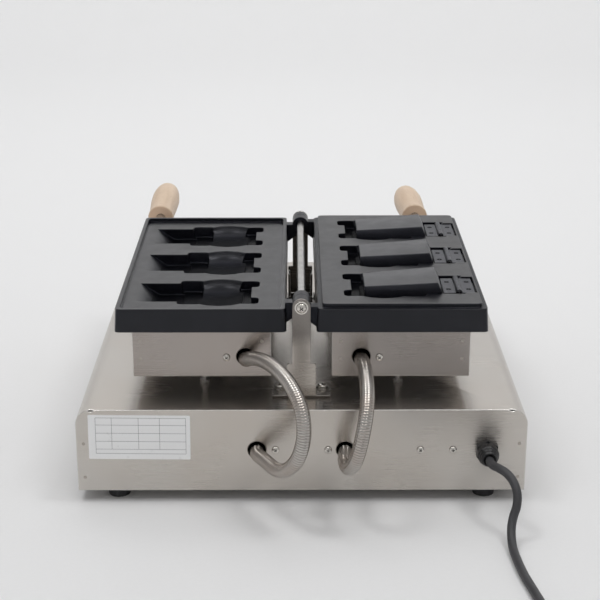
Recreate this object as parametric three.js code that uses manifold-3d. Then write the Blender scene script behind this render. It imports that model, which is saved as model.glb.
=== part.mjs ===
// A countertop fish-cake machine with two cast mould plates that turn on one shaft above a sheet-steel base.
// Millimetres, +Z up. The front, with the controls and handles, faces -Y, and the rear panel faces +Y.
import * as THREE from "three";
import { mergeVertices } from "three/addons/utils/BufferGeometryUtils.js";
import Module from "manifold-3d";

const wasm = await Module();
wasm.setup();

// Clearances and the overrun of cutting tools
const seatGap = 0.3;
const cutOverrun = 2;
const partingGap = 0.2;
const lugGap = 0.6;

// Base housing
const baseWidth = 430;
const baseDepth = 458;
const baseBodyHeight = 84;
const baseEdgeRadius = 15;
const sheet = 1.2;
const bendReliefWidth = 4.5;
const bendReliefDepth = 1.7;
const footHeight = 12;
const footTopDiameter = 25;
const footBottomDiameter = 21;
const footBoreDiameter = 10;
const footBoreDepth = 6;
const footSideInset = 37;
const footEndInset = 20;

// Posts and shaft
const axisAboveTop = 92;
const postSheet = 2.5;
const postFromPlateEnd = 6.8;
const postStrapWidth = 17.5;
const postShoulderWidth = 28;
const postShoulderHeight = 35.2;
const postShoulderRound = 2;
const postFootWidth = 56;
const postFootLength = 36;
const postFlangeHeight = 30;
const postFlangeDepth = 14;
const postBoltSpacing = 40;
const postBoltFromFace = 17;
const postBoltShank = 5;
const postBoltNut = 9.5;
const postBoltHeight = 7;
const shaftDiameter = 8;
const shaftThreadDiameter = 5;
const shaftThreadDepth = 12;
const shaftScrewReach = 9;
const shaftScrewHead = 9.6;
const shaftScrewHeadHeight = 3.4;

// Mould plates, measured from the shaft's axis
const plateInner = 14.2;
const plateOuter = 177.3;
const plateLength = 315;
const plateThickness = 23;
const plateDraft = 1.3;
const plateCorner = 4;
const plateRearInset = 24.2;
const recessBorder = 5;
const recessDepth = 4;
const platformGap = 0.8;
const platformRise = 3.8;
const lugRadius = 8.7;
const lugBoreGap = 0.3;
const lugWidth = 11.5;
const lugArmDepth = 20;
const lugArmRoot = 3;

// Fish moulds: lengths run outwards from the tail's tips, widths along the shaft
const fishEndMargin = 14.55;
const fishBetween = 14.3;
const fishTailTip = 41.2;
const fishLobeLength = 7.6;
const fishTailLength = 8.9;
const fishBellyLength = 43;
const fishNeckLength = 19.5;
const fishThroatLength = 21.8;
const fishRampLength = 18;
const fishTailWidth = 68;
const fishTailNotch = 31;
const fishTailDepth = 9;
const fishBellyCurve = 38;
const fishBellyCrest = 21.5;
const fishBellyDepth = 14.5;
const fishNeckWidth = 71;
const fishNeckDepth = 11.5;
const fishThroatWidth = 54.8;
const fishThroatDepth = 12;
const fishCorner = 4;
const fishWallDraft = 1.2;

// Core inserts that shape the pocket inside each cake
const insertTailGap = 3.5;
const insertMouthGap = 6.3;
const insertMouthHeight = 10.2;
const insertTailHeight = 5.1;
const insertSideGap = 0.4;
const insertMouthTop = 50;
const insertTailWidth = 45;
const insertTailTop = 41.2;
const insertEndSlope = 4;
const insertCrown = 1.1;
const insertLedgeLength = 11;
const insertLedgeThickness = 4.2;
const insertLedgeWidth = 40;

// Butt hinges of the inserts
const hingePinFromMouth = 17.3;
const hingePinBelow = 0.3;
const hingePinDiameter = 2.2;
const hingePinHead = 3.6;
const hingePinHeadLength = 0.8;
const hingeKnuckleDiameter = 5.4;
const hingeLeafReach = 15;
const hingeLeafLength = 44;
const hingeLeafThickness = 2;
const hingeMiddleKnuckle = 16;
const hingePocketMargin = 2;

// Heater covers and elements
const coverSideInset = 15;
const coverEndInset = 14;
const coverHeight = 50;
const coverSheet = 1;
const coverHoseDrop = 53.2;
const elementDiameter = 8;
const elementSides = 6;
const elementLegPitch = 28;
const elementLegs = 4;
const elementEndInset = 30;
const elementTerminalDrop = 20;

// Rest studs under the covers
const restStudFromShaft = 95.5;
const restStudFromCoverEnd = 32.5;
const restStudDiameter = 5;
const restStudCapDiameter = 9;
const restStudCapHeight = 3;
const restStudNutDiameter = 9;
const restStudNutHeight = 3.5;

// Handles
const handleFemaleFromEdge = 14.4;
const handleMaleFromEdge = 42.4;
const handleFemaleDepth = 11.3;
const handleMaleDepth = 8.7;
const handleRiseShares = { female: 0.023, male: -0.024 };
const handleSwingShares = { female: 0, male: -0.035 };
const handleRodDiameter = 10;
const handleRodSeat = 12;
const handleRodBare = 33.5;
const gripLength = 110;
const gripCollarDiameter = 29.6;
const gripWaistDiameter = 28.4;
const gripBellyDiameter = 33;
const gripEndDiameter = 27;
const gripBoreDepth = 92;

// Conduits between the heater covers and the rear panel
const hoseDiameter = 13.8;
const hoseBore = 10;
const hoseRibPitch = 3.6;
const hoseRibDepth = 0.55;
const hoseRibsPerBoreRing = 5;
const hoseInside = 9;
const hoseHoleDiameter = 18;
const hosePanelHeight = 42.4;
const hosePanelFemale = 42.7;
const hosePanelMale = 42;
const hoseCoverFemale = 53.8;
const hoseCoverMale = 57.6;

// Cable gland and mains cord
const glandFromSide = 38;
const glandAbovePanelEdge = 42.4;
const glandThreadDiameter = 15.8;
const glandHexDiameter = 20;
const glandHexLength = 6;
const glandCapDiameter = 20.6;
const glandCapEndDiameter = 14.5;
const glandCapLength = 17;
const glandBore = 9;
const glandLocknutThickness = 4;
const glandTailInside = 9;
const cordDiameter = 8.2;
const cordSides = 8;
const cordStepDiameters = 2;
const coilTurns = 5.25;
const coilOuterRadius = 54;
const coilTurnGap = 0.6;
const coilStepsPerTurn = 24;
const coilSides = 6;
const coilTailLength = 38;
const plugLength = 40;
const plugWidth = 30;
const plugHeight = 25;
const plugNeckLength = 16;
const plugNeckDiameter = 14;
const plugPinDiameter = 4.8;
const plugPinLength = 19;
const plugPinSpacing = 19;
const plugRound = 6;

// Controls on the front flap
const controlHeight = 42;
const thermostatFromCentre = 120;
const timerFromCentre = 120;
const lampFromCentre = 52;
const knobDiameter = 40;
const knobSkirtDiameter = 44;
const knobSkirtHeight = 4;
const knobHeight = 19;
const knobRidgeWidth = 7;
const knobRidgeRise = 4;
const knobPanelGap = 0.6;
const spindleDiameter = 6;
const spindleReach = 14;
const spindleGap = 0.3;
const thermostatBox = { width: 46, depth: 34, height: 40 };
const timerBox = { width: 50, depth: 42, height: 50 };
const rockerWidth = 24;
const rockerHeight = 17;
const rockerFrame = 3;
const rockerFrameRise = 2;
const rockerDepth = 7;
const rockerTilt = THREE.MathUtils.degToRad(10);
const rockerBodyDepth = 24;
const rockerGap = 0.5;
const lampLensDiameter = 12;
const lampLensRise = 4;
const lampBodyDiameter = 9.6;
const lampBodyLength = 22;
const terminalBlock = { width: 90, depth: 24, height: 22, fromRear: 60, wires: 5, bore: 6 };

const up = new THREE.Vector3(0, 0, 1);

// A closed three.js geometry as a solid, turned to face out
function solid(geometry) {
  const bare = geometry.clone();
  for (const name of Object.keys(bare.attributes)) {
    if (name !== "position") bare.deleteAttribute(name);
  }
  const merged = mergeVertices(bare.index ? bare.toNonIndexed() : bare, 1e-4);
  const make = (triVerts) =>
    new wasm.Manifold(
      new wasm.Mesh({
        numProp: 3,
        vertProperties: new Float32Array(merged.attributes.position.array),
        triVerts,
      }),
    );
  const triangles = new Uint32Array(merged.index.array);
  const made = make(triangles);
  if (made.volume() > 0) return made;
  return make(triangles.map((_, i) => triangles[i - (i % 3) + [0, 2, 1][i % 3]]));
}

function geometryOf(made) {
  const mesh = made.getMesh();
  const indexed = new THREE.BufferGeometry();
  indexed.setAttribute("position", new THREE.BufferAttribute(new Float32Array(mesh.vertProperties), 3));
  indexed.setIndex(new THREE.BufferAttribute(new Uint32Array(mesh.triVerts), 1));
  const geometry = indexed.toNonIndexed();
  geometry.computeVertexNormals();
  return geometry;
}

const join = (...pieces) => pieces.reduce((sum, piece) => sum.add(piece));
const cut = (piece, ...tools) => tools.reduce((rest, tool) => rest.subtract(tool), piece);

// A block between two corners along each axis
function block([x0, x1], [y0, y1], [z0, z1]) {
  const box = new THREE.BoxGeometry(x1 - x0, y1 - y0, z1 - z0);
  return solid(box.translate((x0 + x1) / 2, (y0 + y1) / 2, (z0 + z1) / 2));
}

// A round bar along one axis, with the places on the other two in X, Y, Z order
function bar(axis, radius, [from, to], [p, q], sides = 16) {
  const cylinder = new THREE.CylinderGeometry(radius, radius, to - from, sides);
  const middle = (from + to) / 2;
  if (axis === "x") return solid(cylinder.rotateZ(Math.PI / 2).translate(middle, p, q));
  if (axis === "y") return solid(cylinder.translate(p, middle, q));
  return solid(cylinder.rotateX(Math.PI / 2).translate(p, q, middle));
}

// A profile of [radius, height] points turned about an axis that starts at a point and runs in a direction
function turned(profile, sides, at = new THREE.Vector3(), direction = up) {
  const lathe = new THREE.LatheGeometry(profile.map(([r, h]) => new THREE.Vector2(r, h)), sides);
  const turn = new THREE.Quaternion().setFromUnitVectors(new THREE.Vector3(0, 1, 0), direction);
  return solid(lathe.applyQuaternion(turn).translate(at.x, at.y, at.z));
}

function outline(points) {
  return new THREE.Shape(points.map(([a, b]) => new THREE.Vector2(a, b)));
}

// A rectangle with round corners, in the plane of the first two axes given
function roundRectangle([a0, a1], [b0, b1], radius) {
  const shape = new THREE.Shape();
  shape.moveTo(a0 + radius, b0);
  shape.lineTo(a1 - radius, b0);
  shape.absarc(a1 - radius, b0 + radius, radius, -Math.PI / 2, 0);
  shape.lineTo(a1, b1 - radius);
  shape.absarc(a1 - radius, b1 - radius, radius, 0, Math.PI / 2);
  shape.lineTo(a0 + radius, b1);
  shape.absarc(a0 + radius, b1 - radius, radius, Math.PI / 2, Math.PI);
  shape.lineTo(a0, b0 + radius);
  shape.absarc(a0 + radius, b0 + radius, radius, Math.PI, 1.5 * Math.PI);
  return shape;
}

function extruded(shape, depth, curveSegments) {
  return new THREE.ExtrudeGeometry(shape, { depth, bevelEnabled: false, curveSegments });
}

// Shapes extruded along one axis: (x, z) along Y and (y, z) along X
const alongY = (shape, [y0, y1], curve = 3) =>
  solid(extruded(shape, y1 - y0, curve).rotateX(Math.PI / 2).translate(0, y1, 0));
function alongX(shape, [x0, x1], curve = 3) {
  const axes = new THREE.Matrix4().makeBasis(new THREE.Vector3(0, 1, 0), up, new THREE.Vector3(1, 0, 0));
  return solid(extruded(shape, x1 - x0, curve).applyMatrix4(axes).translate(x0, 0, 0));
}

// A closed skin over rings of points with equal counts, its ends closed in the plane that flat picks
function loft(rings, flat) {
  const count = rings[0].length;
  const positions = rings.flat().flatMap((p) => [p.x, p.y, p.z]);
  const index = [];
  rings.slice(1).forEach((_, row) => {
    for (let i = 0; i < count; i++) {
      const a = row * count + i;
      const b = row * count + ((i + 1) % count);
      index.push(a, b, b + count, a, b + count, a + count);
    }
  });
  const last = (rings.length - 1) * count;
  for (const [a, b, c] of THREE.ShapeUtils.triangulateShape(rings[0].map(flat), [])) {
    const turnedRound = THREE.ShapeUtils.isClockWise(rings[0].map(flat));
    index.push(...(turnedRound ? [a, b, c] : [a, c, b]));
    index.push(...(turnedRound ? [last + a, last + c, last + b] : [last + a, last + b, last + c]));
  }
  const geometry = new THREE.BufferGeometry();
  geometry.setAttribute("position", new THREE.Float32BufferAttribute(positions, 3));
  geometry.setIndex(index);
  return solid(geometry);
}

const fromAbove = (p) => new THREE.Vector2(p.x, p.y);
const fromSide = (p) => new THREE.Vector2(p.y, p.z);

// A round-cornered rectangle that grows or shrinks from one height to the other
function draftedBlock([x0, x1], [y0, y1], [z0, z1], corner, topInset, bottomInset = 0) {
  const ring = (inset, z) =>
    roundRectangle([x0 + inset, x1 - inset], [y0 + inset, y1 - inset], corner)
      .getPoints(1)
      .slice(0, -1)
      .map((p) => new THREE.Vector3(p.x, p.y, z));
  return loft([ring(bottomInset, z0), ring(topInset, z1)], fromAbove);
}

// Points along a curve with a frame that is carried along without twisting
function framesAlong(curve, shares) {
  let across = null;
  return shares.map((share) => {
    const at = curve.getPointAt(share);
    const ahead = curve.getTangentAt(share);
    if (!across) {
      across = Math.abs(ahead.z) > Math.SQRT1_2 ? new THREE.Vector3(1, 0, 0) : up.clone();
    }
    across = across.clone().addScaledVector(ahead, -across.dot(ahead)).normalize();
    return { at, across, beside: new THREE.Vector3().crossVectors(ahead, across) };
  });
}

function ringAt({ at, across, beside }, radius, sides) {
  return Array.from({ length: sides }, (_, i) => {
    const angle = (2 * Math.PI * i) / sides;
    return at
      .clone()
      .addScaledVector(across, radius * Math.cos(angle))
      .addScaledVector(beside, radius * Math.sin(angle));
  });
}

const evenShares = (steps) => Array.from({ length: steps + 1 }, (_, i) => i / steps);

// A closed skin over rings of one size, with plain fans at its ends or a bore between its ends
function skin(rings, closed) {
  const count = rings[0].length;
  const positions = rings.flat().flatMap((p) => [p.x, p.y, p.z]);
  const index = [];
  const rows = closed ? rings.length : rings.length - 1;
  for (let row = 0; row < rows; row++) {
    for (let i = 0; i < count; i++) {
      const next = ((row + 1) % rings.length) * count;
      const a = row * count + i;
      const b = row * count + ((i + 1) % count);
      const c = next + ((i + 1) % count);
      index.push(a, b, c, a, c, next + i);
    }
  }
  const last = (rings.length - 1) * count;
  for (let i = 1; !closed && i < count - 1; i++) {
    index.push(0, i + 1, i, last, last + i, last + i + 1);
  }
  const geometry = new THREE.BufferGeometry();
  geometry.setAttribute("position", new THREE.Float32BufferAttribute(positions, 3));
  geometry.setIndex(index);
  return solid(geometry);
}

function tube(curve, radius, sides, steps) {
  return skin(framesAlong(curve, evenShares(steps)).map((frame) => ringAt(frame, radius, sides)), false);
}

// A bolt or nut with six flats
const hexagon = (across, [z0, z1], [x, y]) => bar("z", across / Math.sqrt(3), [z0, z1], [x, y], 6);

// Materials, with colours and finish as in the photograph
const look = (color, roughness, metalness) => new THREE.MeshStandardMaterial({ color, roughness, metalness });
const steel = look(0xb9b4ad, 0.35, 1);
const brightSteel = look(0xd6d4d0, 0.2, 1);
const castCoat = look(0x34353a, 0.55, 0.3);
const wood = look(0xd9bd9c, 0.6, 0);
const blackPlastic = look(0x1d1d20, 0.5, 0);
const blackRubber = look(0x17171a, 0.75, 0);
const greyPlastic = look(0x8d8f92, 0.6, 0);
const redPlastic = look(0xb4221c, 0.35, 0);
const amberPlastic = look(0xc8761a, 0.35, 0);
const ceramic = look(0xe8e4da, 0.7, 0);
const heaterSteel = look(0x6c655e, 0.5, 1);

const machine = new THREE.Group();

function place(parent, name, material, made, x = 0, y = 0, z = 0) {
  const mesh = new THREE.Mesh(geometryOf(made), material);
  mesh.name = name;
  mesh.position.set(x, y, z);
  parent.add(mesh);
  return mesh;
}

// Places that several pieces share
const topHeight = footHeight + baseBodyHeight;
const axisHeight = topHeight + axisAboveTop;
const rearFace = baseDepth / 2;
const plateMiddle = rearFace - plateRearInset - plateLength / 2;
const postHalfSpan = plateLength / 2 - postFromPlateEnd;
const coverHalf = plateLength / 2 - coverEndInset;
const restStudSpread = coverHalf - restStudFromCoverEnd;
const glandFromCentre = baseWidth / 2 - glandFromSide;
const ends = { rear: 1, front: -1 };

// Base group: its origin is on the floor below the middle of the housing
const base = new THREE.Group();
machine.add(base);

function makeHousing() {
  const profile = (wall, below) => {
    const half = baseWidth / 2 - wall;
    const top = topHeight - wall;
    const radius = baseEdgeRadius - wall;
    const shape = new THREE.Shape();
    shape.moveTo(-half, footHeight - below);
    shape.lineTo(half, footHeight - below);
    shape.lineTo(half, top - radius);
    shape.absarc(half - radius, top - radius, radius, 0, Math.PI / 2);
    shape.lineTo(radius - half, top);
    shape.absarc(radius - half, top - radius, radius, Math.PI / 2, Math.PI);
    return shape;
  };
  const outside = alongY(profile(0, 0), [-rearFace, rearFace], 4);
  const inside = alongY(profile(sheet, cutOverrun), [sheet - rearFace, rearFace - sheet], 4);
  const through = [rearFace - sheet - cutOverrun, rearFace + cutOverrun];
  const frontThrough = [-rearFace - cutOverrun, sheet + cutOverrun - rearFace];
  const panelHole = (diameter, x, height) =>
    bar("y", diameter / 2, through, [x, footHeight + height], 16);
  const frontHole = (diameter, x) =>
    bar("y", diameter / 2, frontThrough, [x, footHeight + controlHeight], 12);
  const reliefs = [-1, 1].map((side) => {
    const corner = side * (baseWidth / 2 - baseEdgeRadius);
    return block(
      [corner - bendReliefWidth / 2, corner + bendReliefWidth / 2],
      [rearFace - bendReliefDepth, rearFace + cutOverrun],
      [topHeight - bendReliefDepth, topHeight + cutOverrun],
    );
  });
  const boltHoles = Object.values(ends).flatMap((end) =>
    [-1, 1].map((side) =>
      bar(
        "z",
        postBoltShank / 2 + seatGap,
        [topHeight - sheet - cutOverrun, topHeight + cutOverrun],
        [(side * postBoltSpacing) / 2, plateMiddle + end * (postHalfSpan - postBoltFromFace)],
        8,
      ),
    ),
  );
  const studHoles = Object.values(ends).flatMap((end) =>
    [-1, 1].map((side) =>
      bar(
        "z",
        restStudDiameter / 2 + seatGap,
        [topHeight - sheet - cutOverrun, topHeight + cutOverrun],
        [side * restStudFromShaft, plateMiddle + end * restStudSpread],
        8,
      ),
    ),
  );
  const rockerHole = block(
    [-rockerWidth / 2 - rockerGap, rockerWidth / 2 + rockerGap],
    frontThrough,
    [
      footHeight + controlHeight - rockerHeight / 2 - rockerGap,
      footHeight + controlHeight + rockerHeight / 2 + rockerGap,
    ],
  );
  return cut(
    outside,
    inside,
    ...reliefs,
    ...boltHoles,
    ...studHoles,
    panelHole(hoseHoleDiameter, hosePanelFemale, hosePanelHeight),
    panelHole(hoseHoleDiameter, -hosePanelMale, hosePanelHeight),
    panelHole(glandThreadDiameter + seatGap, -glandFromCentre, glandAbovePanelEdge),
    frontHole(spindleDiameter + 2 * spindleGap, -thermostatFromCentre),
    frontHole(spindleDiameter + 2 * spindleGap, timerFromCentre),
    frontHole(lampBodyDiameter + 2 * seatGap, -lampFromCentre),
    frontHole(lampBodyDiameter + 2 * seatGap, lampFromCentre),
    rockerHole,
  );
}
place(base, "base_housing", steel, makeHousing());

// The cover closes the housing from below, just inside its lower edge
const coverInside = baseWidth / 2 - sheet - seatGap;
const coverInsideDepth = rearFace - sheet - seatGap;
place(
  base,
  "bottom_cover",
  steel,
  block([-coverInside, coverInside], [-coverInsideDepth, coverInsideDepth], [0, sheet]),
  0,
  0,
  footHeight,
);

function makeFoot() {
  const top = footTopDiameter / 2;
  const bottom = footBottomDiameter / 2;
  const body = turned(
    [
      [0, 0],
      [bottom, 0],
      [top, footHeight - seatGap],
      [0, footHeight - seatGap],
    ],
    16,
  );
  return cut(body, bar("z", footBoreDiameter / 2, [-cutOverrun, footBoreDepth], [0, 0], 8));
}
for (const [end, towards] of Object.entries(ends)) {
  for (const [side, across] of Object.entries({ left: -1, right: 1 })) {
    place(
      base,
      `foot_${end}_${side}`,
      blackRubber,
      makeFoot(),
      across * (baseWidth / 2 - footSideInset),
      towards * (rearFace - footEndInset),
    );
  }
}

// Posts: made for the rear end with the inner face at Y zero and the foot running inwards, then turned for the front
function makePost() {
  const strap = postStrapWidth / 2;
  const shoulder = postShoulderWidth / 2;
  const shape = new THREE.Shape();
  shape.moveTo(-shoulder, 0);
  shape.lineTo(shoulder, 0);
  shape.lineTo(shoulder, postShoulderHeight - postShoulderRound);
  shape.absarc(shoulder - postShoulderRound, postShoulderHeight - postShoulderRound, postShoulderRound, 0, Math.PI / 2);
  shape.lineTo(strap, postShoulderHeight);
  shape.lineTo(strap, axisAboveTop);
  shape.absarc(0, axisAboveTop, strap, 0, Math.PI);
  shape.lineTo(-strap, postShoulderHeight);
  shape.lineTo(postShoulderRound - shoulder, postShoulderHeight);
  shape.absarc(
    postShoulderRound - shoulder,
    postShoulderHeight - postShoulderRound,
    postShoulderRound,
    Math.PI / 2,
    Math.PI,
  );
  const web = alongY(shape, [0, postSheet], 6);
  const foot = block(
    [-postFootWidth / 2, postFootWidth / 2],
    [postSheet - postFootLength, postSheet],
    [0, postSheet],
  );
  const flanges = [-1, 1].map((side) => {
    const outer = side * shoulder;
    const inner = side * (shoulder - postSheet);
    return block([Math.min(outer, inner), Math.max(outer, inner)], [-postFlangeDepth, postSheet], [0, postFlangeHeight]);
  });
  const holes = [-1, 1].map((side) =>
    bar(
      "z",
      postBoltShank / 2 + seatGap,
      [-cutOverrun, postSheet + cutOverrun],
      [(side * postBoltSpacing) / 2, -postBoltFromFace],
      12,
    ),
  );
  const shaftHole = bar(
    "y",
    shaftThreadDiameter / 2 + seatGap,
    [-cutOverrun, postSheet + cutOverrun],
    [0, axisAboveTop],
    12,
  );
  return cut(join(web, foot, ...flanges), shaftHole, ...holes);
}

// A hex nut on its stud end, standing on the post's foot and passing through the base's top
function makePostBolt() {
  const seat = postSheet + seatGap;
  const shank = bar("z", postBoltShank / 2, [-sheet, seat + postBoltHeight], [0, 0], 12);
  return join(shank, hexagon(postBoltNut, [seat, seat + postBoltHeight * 0.7], [0, 0]));
}

function makeShaftScrew() {
  const head = shaftScrewHead / 2;
  return turned(
    [
      [0, -shaftScrewReach],
      [shaftThreadDiameter / 2, -shaftScrewReach],
      [shaftThreadDiameter / 2, 0],
      [head, 0],
      [head, shaftScrewHeadHeight * 0.45],
      [head * 0.7, shaftScrewHeadHeight * 0.9],
      [0, shaftScrewHeadHeight],
    ],
    12,
    new THREE.Vector3(),
    new THREE.Vector3(0, 1, 0),
  );
}

for (const [end, towards] of Object.entries(ends)) {
  const stand = new THREE.Group();
  stand.position.set(0, plateMiddle + towards * postHalfSpan, topHeight);
  stand.rotation.z = towards > 0 ? 0 : Math.PI;
  base.add(stand);
  place(stand, `${end}_post`, steel, makePost(), 0, 0, seatGap);
  for (const [side, across] of Object.entries({ left: -1, right: 1 })) {
    const x = (across * towards * postBoltSpacing) / 2;
    place(stand, `${end}_post_bolt_${side}`, brightSteel, makePostBolt(), x, -postBoltFromFace, seatGap);
  }
  const screwSeat = postSheet + seatGap;
  place(stand, `${end}_shaft_screw`, brightSteel, makeShaftScrew(), 0, screwSeat, axisAboveTop + seatGap);
}

function makeShaft() {
  const half = postHalfSpan - seatGap;
  const rod = bar("y", shaftDiameter / 2, [-half, half], [0, 0], 16);
  const threads = Object.values(ends).map((end) =>
    bar(
      "y",
      shaftThreadDiameter / 2 + seatGap,
      end > 0 ? [half - shaftThreadDepth, half + cutOverrun] : [-half - cutOverrun, shaftThreadDepth - half],
      [0, 0],
      12,
    ),
  );
  return cut(rod, ...threads);
}
const hingeLine = new THREE.Group();
hingeLine.position.set(0, plateMiddle, axisHeight + seatGap);
machine.add(hingeLine);
place(hingeLine, "hinge_shaft", brightSteel, makeShaft());

// Rest studs reach from inside the base's top to just below the heater covers
const coverTop = -plateThickness - seatGap;
const coverBottom = coverTop - coverHeight;
const studTop = axisAboveTop + coverBottom;
function makeRestStud() {
  const shank = bar("z", restStudDiameter / 2, [-sheet, studTop], [0, 0], 10);
  const cap = bar("z", restStudCapDiameter / 2, [studTop - restStudCapHeight, studTop], [0, 0], 12);
  return join(shank, cap, hexagon(restStudNutDiameter, [seatGap, restStudNutHeight], [0, 0]));
}
for (const [end, towards] of Object.entries(ends)) {
  for (const [side, across] of Object.entries({ left: -1, right: 1 })) {
    const y = plateMiddle + towards * restStudSpread;
    place(base, `rest_stud_${end}_${side}`, brightSteel, makeRestStud(), across * restStudFromShaft, y, topHeight);
  }
}

// Plates: each is made in its own frame, with X running outwards from the shaft's axis and Z up from it
const fishBellyStart = fishTailTip + fishLobeLength + fishTailLength;
const fishNeckStart = fishBellyStart + fishBellyLength;
const fishThroatStart = fishNeckStart + fishNeckLength;
const fishRampStart = fishThroatStart + fishThroatLength;
const fishRampEnd = fishRampStart + fishRampLength;
const fishRows = { rear: 1, middle: 0, front: -1 };
const fishPitch = (plateLength - 2 * fishEndMargin) / Object.keys(fishRows).length;
const fishBellyWidth = fishPitch - fishBetween;
const fishPlaces = Object.fromEntries(Object.entries(fishRows).map(([name, row]) => [name, row * fishPitch]));

// The hollow of one fish below a face at the given height
function fishHollow(face, y) {
  const above = face + cutOverrun;
  const span = (width) => [y - width / 2, y + width / 2];
  const sunk = (range, width, depth) =>
    join(
      draftedBlock(range, span(width), [face - depth, face], fishCorner, 0, fishWallDraft),
      draftedBlock(range, span(width), [face, above], fishCorner, 0),
    );
  const ball = new THREE.SphereGeometry(1, 20, 12).rotateX(Math.PI / 2);
  const belly = solid(
    ball
      .scale(fishBellyCurve, fishBellyWidth / 2, fishBellyDepth)
      .translate(fishBellyStart + fishBellyCrest, y, face),
  ).intersect(
    block([fishBellyStart, fishNeckStart + fishCorner], span(fishBellyWidth + cutOverrun), [
      face - fishBellyDepth - cutOverrun,
      above,
    ]),
  );
  const tailRoot = fishTailTip + fishLobeLength;
  const lobeWidth = (fishTailWidth - fishTailNotch) / 2;
  const lobes = [-1, 1].map((side) => {
    const middle = y + (side * (fishTailNotch + lobeWidth)) / 2;
    const range = [middle - lobeWidth / 2, middle + lobeWidth / 2];
    return draftedBlock([fishTailTip, fishBellyStart], range, [face - fishTailDepth, above], fishCorner, 0);
  });
  const throatHalf = fishThroatWidth / 2;
  const throatShape = outline([
    [fishThroatStart - fishCorner, above],
    [fishThroatStart - fishCorner, face - fishThroatDepth],
    [fishRampStart, face - fishThroatDepth],
    [fishRampEnd, face],
    [fishRampEnd, above],
  ]);
  return join(
    sunk([fishNeckStart - fishCorner, fishThroatStart], fishNeckWidth, fishNeckDepth),
    belly,
    draftedBlock([tailRoot, fishBellyStart + fishCorner], span(fishTailWidth), [face - fishTailDepth, above], fishCorner, 0),
    ...lobes,
    alongY(throatShape, [y - throatHalf, y + throatHalf]),
  );
}

// Lugs on the shaft, at a distance from the plate's middle to their outer faces
function lugs(outerFace) {
  const root = plateInner + lugArmRoot;
  const arm = outline([
    [root, -partingGap],
    [0, -partingGap],
    [0, -lugRadius],
    [plateInner, -lugArmDepth],
    [root, -lugArmDepth],
  ]);
  return Object.values(ends).map((end) => {
    const range = end > 0 ? [outerFace - lugWidth, outerFace] : [-outerFace, lugWidth - outerFace];
    return join(alongY(arm, range), bar("y", lugRadius, range, [0, 0], 24));
  });
}
const maleLugFace = postHalfSpan - lugGap;
const femaleLugFace = maleLugFace - lugWidth - lugGap;
const lugBore = bar(
  "y",
  shaftDiameter / 2 + lugBoreGap,
  [-plateLength / 2, plateLength / 2],
  [0, 0],
  24,
);

const plateBlank = draftedBlock(
  [plateInner, plateOuter],
  [-plateLength / 2, plateLength / 2],
  [-plateThickness, -partingGap],
  plateCorner,
  plateDraft,
);

// A handle leaves the middle of its seat in the plate's front edge at a slight angle of its own
const handles = {
  female: { x: plateOuter - handleFemaleFromEdge, z: -handleFemaleDepth, front: -1 },
  male: { x: plateOuter - handleMaleFromEdge, z: -handleMaleDepth, front: 1 },
};
for (const [side, handle] of Object.entries(handles)) {
  handle.at = new THREE.Vector3(handle.x, (handle.front * plateLength) / 2, handle.z);
  handle.along = new THREE.Vector3(handleSwingShares[side], handle.front, handleRiseShares[side]).normalize();
}
const roundBar = (radius, [from, to], { at, along }, sides = 16) =>
  turned(
    [
      [0, from],
      [radius, from],
      [radius, to],
      [0, to],
    ],
    sides,
    at,
    along,
  );
const rodSeat = (side) =>
  roundBar(handleRodDiameter / 2 + seatGap, [-handleRodSeat, cutOverrun], handles[side], 12);

const recessFace = -partingGap - recessDepth;
function makeFemaleMould() {
  const recess = draftedBlock(
    [plateInner + recessBorder, plateOuter - recessBorder],
    [recessBorder - plateLength / 2, plateLength / 2 - recessBorder],
    [recessFace, cutOverrun],
    plateCorner,
    0,
  );
  const fish = Object.values(fishPlaces).map((y) => fishHollow(recessFace, y));
  return cut(join(plateBlank, ...lugs(femaleLugFace)), recess, ...fish, lugBore, rodSeat("female"));
}

// The male plate's raised field enters the female plate's recess when the machine is shut
const platformFace = -partingGap + platformRise;
const platformBorder = recessBorder + platformGap;
const pinFromShaft = fishRampStart - insertMouthGap + hingePinFromMouth;
const pinHeight = platformFace - hingePinBelow;
const leafBottom = pinHeight - hingeKnuckleDiameter / 2;
const pocketEnd = pinFromShaft + hingeLeafReach + hingePocketMargin;
const pocketHalf = hingeLeafLength / 2 + hingePocketMargin;
function makeMaleMould() {
  const platform = draftedBlock(
    [plateInner + platformBorder, plateOuter - platformBorder],
    [platformBorder - plateLength / 2, plateLength / 2 - platformBorder],
    [-partingGap - cutOverrun, platformFace],
    plateCorner,
    0,
  );
  const fish = Object.values(fishPlaces).map((y) => fishHollow(platformFace, y));
  const pockets = Object.values(fishPlaces).map((y) =>
    block([fishRampStart, pocketEnd], [y - pocketHalf, y + pocketHalf], [leafBottom - seatGap, platformFace + cutOverrun]),
  );
  return cut(join(plateBlank, platform, ...lugs(maleLugFace)), ...fish, ...pockets, lugBore, rodSeat("male"));
}

// A cover is an open box below its plate, with a hole for the conduit in its rear wall
const coverRange = [plateInner + coverSideInset, plateOuter - coverSideInset];
function makeHeaterCover(rear, hoseFromShaft) {
  const outside = block(coverRange, [-coverHalf, coverHalf], [coverBottom, coverTop]);
  const inside = block(
    [coverRange[0] + coverSheet, coverRange[1] - coverSheet],
    [coverSheet - coverHalf, coverHalf - coverSheet],
    [coverBottom + coverSheet, coverTop + cutOverrun],
  );
  const wall = rear * coverHalf;
  const range = [wall - cutOverrun - coverSheet, wall + cutOverrun + coverSheet];
  return cut(outside, inside, bar("y", hoseHoleDiameter / 2, range, [hoseFromShaft, -coverHoseDrop], 20));
}

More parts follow.
